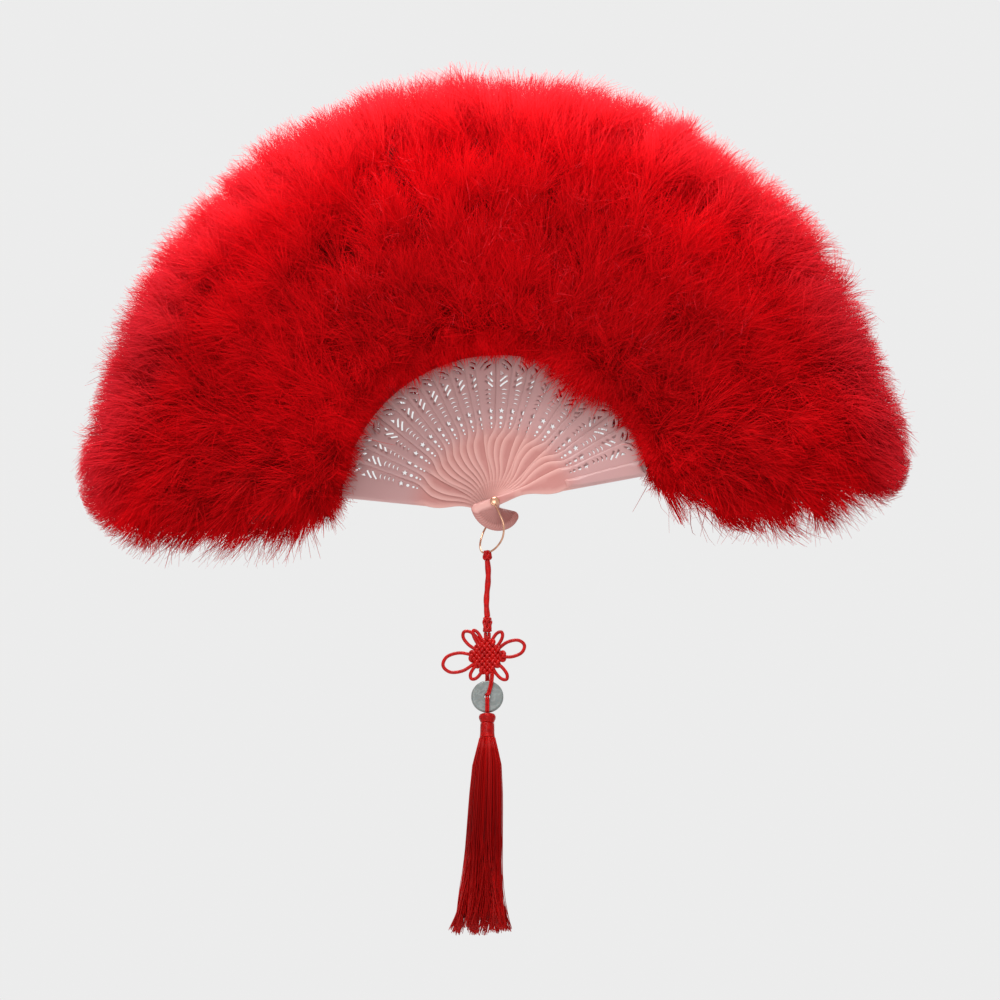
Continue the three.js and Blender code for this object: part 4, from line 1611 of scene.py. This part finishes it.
strandLook = {
    "quickShare": 0.4,
    "segments": 4,
    "rootWidth": 0.7,
    "fullWidthAt": 0.25,
    "tipWidth": 0.34,
    "lobeWidth": 1.1,
    "rootPower": 0.85,  # crowds the tufts a little towards the rim
    "rimInset": 0.93,
    "leanStray": 0.3,
    "edgeLean": (0.7, 0.6),  # outwards, and how much more at the outside
    "looseRise": 0.8,
    "looseTipRise": 0.45,
    "rootStray": 1.3,
    "tipSplay": 1.25,
    "tipStray": 0.2,
    "meetAt": 0.95,
    "depthMost": (1.06, 1.5),  # a factor on the plume's half depth, and what is added to it
    "depthGive": 0.3,  # how much stays of what passes the depth, the reach and the floor
    "reachGive": 0.35,
    "floorGive": 0.22,
    "rimFrom": 0.72,
    "wispRim": 1.2,
    "rimFacing": 0.5,
    "rimPuff": (0.1, 0.8),
    "rimFlat": 0.6,
    "facingStray": 0.4,
    "puffStray": 1.1,
    "puffShare": 0.55,  # how much of a strand's normal is its tuft's
    "toneStray": 0.2,
    "droop": 0.16,
    "lobeDroop": 0.34,
    "lobeSpan": 0.8,  # where a lobe's outermost tufts stand, as a share of its half width
    "lobeInset": 4,
    "edgeSpan": (0.5, 0.82),
    "innerSpan": 7.4,
    "innerSpans": {1: (-24, 8), 23: (-8, 22)},
    "innerDepths": {1: (-8, 9), 23: (-17, -13.4)},  # clear of the slat, in front of it or behind it
    "behindDepths": {1: (13.4, 17), 23: (-9, 8)},
    "innerTurn": {1: 0.9, 23: 1.6},  # radians, how far the lobe's inner tufts turn outwards
    "innerTurnAt": 20,
    "partingFront": 0.6,  # how many of the parting's tufts stand in front
    "floors": {1: -26, 23: -12},  # how low the two lobes hang, in the fan's z
    "cornerWidth": 55,  # where the floor rises towards a lobe's outer corner, and how far
    "cornerRise": 36,
    "cornerPower": 2.5,
    "longInner": {1: 1.1, 15: 1.15, 16: 1.5, 17: 2.2, 18: 2.3, 19: 1.6, 20: 1.1, 23: 0.75},
    "wispSticks": (7, 21),  # the sticks whose plumes have loose light wisps
    "mostDepth": 51.5,
    "evenJitter": 0.12,  # how far a lobe's tufts stray from their even places
}


# which side of a guard's slat its lobe of feathers stands out to
def lobeSideOf(n):
    return -1 if n == 1 else 1


def reachOf(n):
    rise = math.sin(angleOf(n)) ** 2
    return plumeShape["sideReach"] + (plumeShape["topReach"] - plumeShape["sideReach"]) * rise


def halfDepthAt(share):
    return plumeShape["halfDepth"] * np.interp(share, plumeShape["stations"], plumeShape["depths"])


def lobeHalfAt(share):
    return plumeShape["lobeHalf"] * np.interp(share, plumeShape["stations"], plumeShape["lobes"])


# the distance from the rivet at a share of a plume's length, and the share at a distance
def alongAt(n, share):
    return plumeShape["start"] + (reachOf(n) - plumeShape["start"]) * share


def shareAt(n, along):
    return (along - plumeShape["start"]) / (reachOf(n) - plumeShape["start"])


# the lowest and highest x of a plume at a share of its length, in its own frame
def sideLimits(n, share):
    side = alongAt(n, share) * math.tan(math.radians(stepAngle / 2))
    low = -lobeHalfAt(share) if n == 1 else -side
    high = lobeHalfAt(share) if n == fanLayout["sticks"] else side
    return low, high


# two sides' x, with one factor for the side where a lobe stands out and another for a plain side
def widened(n, low, high, lobe, plain):
    return low * (lobe if n == 1 else plain), high * (lobe if n == fanLayout["sticks"] else plain)


def sectionAt(n, x, share):
    low, high = sideLimits(n, share)
    across = np.clip(np.where(x < 0, x / low, x / high), 0, 1)
    square = 1 - across ** plumeShape["sectionPower"]
    return np.sqrt(np.maximum(square, plumeShape["sectionLeast"])) if isGuard(n) else np.ones_like(x)


# Flat tapering strips along cubic curves. Each faces outwards, as far as its own direction lets it.
def stripMesh(points, facing, width):
    look, segments = strandLook, strandLook["segments"]
    t = np.linspace(0, 1, segments + 1)
    blend = np.stack([(1 - t) ** 3, 3 * t * (1 - t) ** 2, 3 * t * t * (1 - t), t ** 3], axis=1)
    slope = np.stack([-3 * (1 - t) ** 2, 3 * (1 - t) * (1 - 3 * t), 3 * t * (2 - 3 * t), 3 * t * t], axis=1)
    middle = np.einsum("tk,nkc->ntc", blend, points)
    tangent = unit(np.einsum("tk,nkc->ntc", slope, points))
    side = unit(np.cross(tangent, facing[:, None, :]))
    taper = np.interp(t, [0, look["fullWidthAt"], 1], [look["rootWidth"], 1, look["tipWidth"]])
    half = side * (width[:, None] * taper[None, :] / 2)[..., None]
    vertices = np.stack([middle - half, middle + half], axis=2).reshape(-1, 3)
    base = (np.arange(len(points))[:, None] * (segments + 1) + np.arange(segments)[None, :]) * 2
    faces = np.stack([base, base + 1, base + 3, base + 2], axis=-1).reshape(-1, 4)
    normals = np.repeat(np.cross(side, tangent).reshape(-1, 3), 2, axis=0)
    return vertices, faces, np.repeat(np.tile(t, len(points)), 2), normals


toneShape = {
    "size": 26,
    # factors on x, y and z, a start and a strength
    "waves": [(1.3, 1.1, 0.7, 0, 1), (-0.6, 0, 1.7, 2.1, 1), (2.3, 0.6, -1.1, 0.5, 0.7)],
    "wave": 0.17,
    "cloud": 0.5,
    "least": -0.08,
    # painted light from above: how the tone rises with height in the fan and towards the rim
    "paintedLightHeights": (50, 180),
    "paintedLightPower": 1.3,
    "paintedLightEnd": 0.65,
    "rise": 0.75,
}


# a slow change of tone over the whole fan, from a few waves, and painted light: a rise in brightness
# towards its upper rim, where the light from above falls
def fanToneAndTopLight(points, share):
    look = toneShape
    x, y, z = (points / look["size"]).T
    waves = sum(most * np.sin(a * x + b * y + c * z + start) for a, b, c, start, most in look["waves"])
    cloud = np.clip(0.5 + waves * look["wave"], 0, 1)
    # painted light: lighter higher up the fan and nearer the rim, as the light from above falls there
    height = ramp(points[:, 2], *look["paintedLightHeights"]) ** look["paintedLightPower"]
    return cloud * look["cloud"] + look["least"] + height * ramp(share, 0, look["paintedLightEnd"]) * look["rise"]


evenSteps = np.array([[0.7549], [0.5698]])  # they fill a square evenly, however many places there are


# places that fill a square, as two rows of shares
def evenSpots(count):
    return (0.5 + np.arange(count)[None, :] * evenSteps) % 1


# Tufts on a plume and on a guard's, the strands in each, their length, width and how far they part, and the
# stretch of the plume that they stand on, with its face: -1 for the front, 1 for the back and 0 for both.
tuftColumns = ("tufts", "lobeTufts", "strands", "length", "width", "splay", "span", "side")
tuftTable = {
    "front": (48, 128, 60, 33, 0.31, 0.34, (0, 0.86), -1),
    "back": (30, 80, 54, 36, 0.34, 0.34, (0, 0.86), 1),
    "rim": (34, 80, 50, 40, 0.4, 0.24, (0.5, 1), 0),
    "inner": (16, 56, 40, 12, 0.34, 0.36, (0, 0.06), -1),
    "parting": (16, 34, 42, 19, 0.32, 0.4, (0.02, 0.16), 0),
    "behind": (12, 38, 40, 14, 0.34, 0.36, (0, 0.06), 1),
    "edge": (0, 75, 50, 25, 0.4, 0.28, (0, 0.9), 0),
    "wisp": (6, 0, 8, 13, 0.28, 0.7, (0.1, 0.7), -1),
}
tuftKinds = {name: dict(zip(tuftColumns, row)) for name, row in tuftTable.items()}
# the lowest and highest values that a tuft's measures are drawn from, with the turns in radians
tuftRanges = {
    "size": (0.75, 1.15),
    "rimReach": (0.955, 1.0),
    "depth": (0.42, 0.82),
    "looseDepth": (-0.95, 0.95),
    "looseShare": (0.3, 1.0),
    "partingDepth": (0.45, 0.85),
    "wispDepth": (0.9, 1.0),
    "rise": (0.45, 1.05),
    "tipRise": (-0.05, 0.4),
    "innerRise": (0.7, 1.2),
    "innerTipRise": (0.0, 0.5),
    "turn": (-math.pi, math.pi),
    "partingRise": (0.8, 1.3),
    "partingTipRise": (0.3, 0.9),
    "wispTipRise": (-1.2, -0.4),
    "strandLength": (0.65, 1.1),
    "meet": (0.2, 0.75),
    "strandWidth": (0.6, 1.15),
}


# where a kind's tufts stand: their length, share of the plume's length, x and y
def tuftRoots(n, name, tufts, rng):
    kind, shape, look, ranges = tuftKinds[name], plumeShape, strandLook, tuftRanges
    size = kind["length"] * rng.uniform(*ranges["size"], tufts)
    first, last = kind["span"]
    along = rng.random(tufts)
    even = isGuard(n) and name in ("front", "back")
    if even:
        along = (evenSpots(tufts)[0] + along * look["evenJitter"]) % 1
    share = first + (last - first) * along ** look["rootPower"]
    if name == "rim":
        tips = reachOf(n) * rng.uniform(*ranges["rimReach"], tufts)
        share = shareAt(n, tips - size * look["rimInset"])
    low, high = sideLimits(n, share)
    low, high = widened(n, low, high, look["lobeSpan"], shape["sideLap"])
    if name in ("inner", "behind"):
        size = size * look["longInner"].get(n, 1)
        low, high = look["innerSpans"].get(n, (-look["innerSpan"], look["innerSpan"]))
    if name == "edge":
        low, high = (lobeSideOf(n) * lobeHalfAt(share) * most for most in look["edgeSpan"])
    across = rng.random(tufts)
    if even:
        across = (evenSpots(tufts)[1] + across * look["evenJitter"]) % 1
    x = low + across * (high - low)
    half = halfDepthAt(share) * sectionAt(n, x, share)
    y = kind["side"] * half * rng.uniform(*ranges["depth"], tufts)
    if kind["side"] == 0:
        y = half * rng.uniform(*ranges["looseDepth"], tufts) * rng.uniform(*ranges["looseShare"], tufts)
    if name in ("inner", "behind") and isGuard(n):
        y = rng.uniform(*look[f"{name}Depths"][n], tufts)
    if name == "parting":
        side = np.where(rng.random(tufts) < look["partingFront"], -1, 1)
        y = side * half * rng.uniform(*ranges["partingDepth"], tufts)
    if name == "wisp":
        y = -half * rng.uniform(*ranges["wispDepth"], tufts)
    return size, share, x, y


# Which way a kind's tufts point: across and along the plume by "lean", then away from its middle plane
# by "rise" at their roots and by "tipRise" at their tips.
def tuftLeans(n, name, share, x, y, rng):
    look, side = strandLook, lobeSideOf(n)

    def drawn(key):
        return rng.uniform(*tuftRanges[key], len(x))

    lean = rng.normal(0, look["leanStray"], len(x))
    rise, tipRise = drawn("rise"), drawn("tipRise")
    if isGuard(n):
        outer = np.clip(side * x / lobeHalfAt(share), 0, 1)
        if name in ("inner", "behind"):
            lean = lean - side * look["innerTurn"][n] * ramp(side * x, 0, look["innerTurnAt"])
        elif name == "edge":
            lean = lean + side * (look["edgeLean"][0] + look["edgeLean"][1] * outer)
        else:
            lean = lean + side * outer
    if tuftKinds[name]["side"] == 0:
        rise = np.abs(y) / plumeShape["halfDepth"] * look["looseRise"]
        tipRise = rise * look["looseTipRise"]
    if name in ("inner", "behind"):
        lean = lean + math.pi
        rise, tipRise = drawn("innerRise"), drawn("innerTipRise")
    if name == "parting":
        lean, rise, tipRise = drawn("turn"), drawn("partingRise"), drawn("partingTipRise")
    if name == "wisp":
        lean, tipRise = drawn("turn"), drawn("wispTipRise")
    return lean, rise, tipRise


# how many tufts of a kind a plume has
def tuftCount(n, name):
    kind, look = tuftKinds[name], strandLook
    tufts = kind["lobeTufts"] if isGuard(n) else kind["tufts"]
    if name == "wisp" and not look["wispSticks"][0] <= n <= look["wispSticks"][1]:
        tufts = 0
    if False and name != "wisp":
        tufts = int(tufts * look["quickShare"])
    return tufts


# the curves' points, drawn back to the plume's depth, to its reach and to the floor under a lobe
def keptInside(n, controls, down):
    look, reach, angle = strandLook, reachOf(n), angleOf(n)
    factor, more = look["depthMost"]
    most = halfDepthAt(np.clip(shareAt(n, controls[..., 2]), 0, 1)) * factor + more
    depth = np.abs(controls[..., 1])
    depth = np.where(depth > most, most + (depth - most) * look["depthGive"], depth)
    controls[..., 1] = np.sign(controls[..., 1]) * np.minimum(depth, look["mostDepth"])
    radius = np.hypot(controls[..., 0], controls[..., 2])
    over = np.maximum(radius - reach + (look["lobeInset"] if isGuard(n) else 0), 0)
    controls[..., ::2] *= (1 - (1 - look["reachGive"]) * over / radius)[..., None]
    if isGuard(n):
        height = controls[..., 2] * math.sin(angle) - controls[..., 0] * math.cos(angle)
        corner = np.clip((radius - reach) / look["cornerWidth"] + 1, 0, 1) ** look["cornerPower"]
        under = np.minimum(height - look["floors"][n] - look["cornerRise"] * corner, 0)
        controls = controls + (under * (1 - look["floorGive"]))[..., None] * down
    return controls


# Strands of one kind of tuft: the four points of each one's curve, and what its strip and colour need.
def growTufts(n, name, rng):
    kind, look, ranges = tuftKinds[name], strandLook, tuftRanges
    tufts = tuftCount(n, name)
    size, share, x, y = tuftRoots(n, name, tufts, rng)
    lean, rise, tipRise = tuftLeans(n, name, share, x, y, rng)
    outwards = np.where(y < 0, -1.0, 1.0) if kind["side"] == 0 else np.full(tufts, float(kind["side"]))
    down = np.array([math.cos(angleOf(n)), 0, -math.sin(angleOf(n))])

    def towards(lift):
        flat = np.cos(lift)
        return np.stack([flat * np.sin(lean), np.sin(lift) * outwards, flat * np.cos(lean)], axis=1)

    droop = look["lobeDroop"] if isGuard(n) else look["droop"]
    first, last = towards(rise), unit(towards(tipRise) + down * droop)
    which = np.repeat(np.arange(tufts), kind["strands"])
    total = len(which)
    stray = rng.normal(0, kind["splay"], (total, 3))
    tipStray = stray * look["tipSplay"] + rng.normal(0, look["tipStray"], (total, 3))
    roots = np.stack([x, y, alongAt(n, share)], axis=1)
    start = roots[which] + rng.normal(0, look["rootStray"], (total, 3))
    third = (size[which] * rng.uniform(*ranges["strandLength"], total) / 3)[:, None]
    early, late = unit(first[which] + stray), unit(last[which] + tipStray)
    one = start + early * third
    two = one + unit(early + late) * third
    tip = two + late * third
    if kind["side"] == 0:
        meet = start + (unit(first + last) * size[:, None] * look["meetAt"])[which]
        tip = tip + (meet - tip) * rng.uniform(*ranges["meet"], tufts)[which][:, None]
    controls = np.stack([start, one, two, tip], axis=1)
    rim = ramp(np.clip(shareAt(n, tip[:, 2]), 0, 1), look["rimFrom"], 1)
    controls = keptInside(n, controls, down)
    if name == "wisp":
        rim = np.full(total, look["wispRim"])
    edge = np.minimum(rim, 1)
    out, (least, more) = outwards[which], look["rimPuff"]
    facing = np.stack([np.zeros(total), out, look["rimFacing"] * edge], axis=1)
    puff = np.stack([np.zeros(total), out * (1 - look["rimFlat"] * edge), least + more * edge], axis=1)
    wide = kind["width"] * (look["lobeWidth"] if isGuard(n) else 1)
    return {
        "points": controls,
        "facing": unit(facing + rng.normal(0, look["facingStray"], (total, 3))),
        "puff": unit(puff + stray * look["puffStray"]),
        "width": wide * rng.uniform(*ranges["strandWidth"], total),
        # the tuft's tone holds the painted light from above as well as its random tone
        "tone": fanToneAndTopLight(toFan(n, start), share[which]) + rng.random(tufts)[which] * look["toneStray"],
        "rim": rim,
        "own": rng.random(total),
    }


# a plume's core, painted dark as the shade deep inside it, which the tufts hide
def shadeCoreMesh(n):
    shape = plumeShape
    section = np.array(shape["shadeCoreSection"]) if isGuard(n) else np.ones(len(shape["shadeCoreSection"]))
    rings = []
    for share, depthShare in zip(shape["shadeCoreShares"], shape["shadeCoreDepths"]):
        low, high = sideLimits(n, share)
        low, high = widened(n, low, high, shape["shadeCoreLobe"], 1)
        along = np.full(len(section), alongAt(n, share))
        xs, ys = np.array([low, low / 2, 0, high / 2, high]), shape["halfDepth"] * depthShare * section
        rings.append(np.stack([xs, -ys, along], axis=1))
        rings.append(np.stack([xs[::-1], ys[::-1], along], axis=1))
    rings = np.array(rings).reshape(len(shape["shadeCoreShares"]), -1, 3)
    sides = rings.shape[1]
    points = np.concatenate([rings.reshape(-1, 3), rings[[0, -1]].mean(axis=1)])
    faces = loftFaces(len(rings), sides)
    lowCap, highCap = len(points) - 2, len(points) - 1
    last = (len(rings) - 1) * sides
    for side in range(0, sides, 2):
        after = (side + 2) % sides
        faces.append((lowCap, after, side + 1, side))
        faces.append((highCap, last + side, last + side + 1, last + after))
    return points, np.array(faces)


def addPlume(n):
    rng = np.random.default_rng(plumeShape["seed"] + n)
    core, shadeCoreFaces = shadeCoreMesh(n)
    grown = [growTufts(n, name, rng) for name in tuftKinds]
    parts = {key: np.concatenate([part[key] for part in grown]) for key in grown[0]}
    strips, faces, along, normals = stripMesh(parts["points"], parts["facing"], parts["width"])
    each, start, puffShare = (strandLook["segments"] + 1) * 2, len(core), strandLook["puffShare"]
    normals = unit(normals * (1 - puffShare) + np.repeat(parts["puff"], each, axis=0) * puffShare)
    normals = np.concatenate([unit(core - core.mean(0)), normals])
    points = np.concatenate([core, strips])
    faces = np.concatenate([shadeCoreFaces, faces + start])
    # the core's colours stay at nought, so it takes the Deep colour: painted shade
    colors = np.zeros((len(points), 4), np.float32)
    colors[start:, 0] = along
    for channel, key in enumerate(("tone", "rim", "own"), 1):
        colors[start:, channel] = np.repeat(parts[key], each)
    piece = addPiece(f"feathers_{n:02d}", toFan(n, points), faces, bodyOf(n), "feather")
    setStrandColors(piece.data, colors)
    piece.data.normals_split_custom_set_from_vertices(toFan(n, normals))
    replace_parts(piece, f"plume_{n:02d}")
    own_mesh(piece)
    return len(faces)


total = sum(addPlume(n) for n in range(1, fanLayout["sticks"] + 1))
print("plumes grown:", total, "faces")
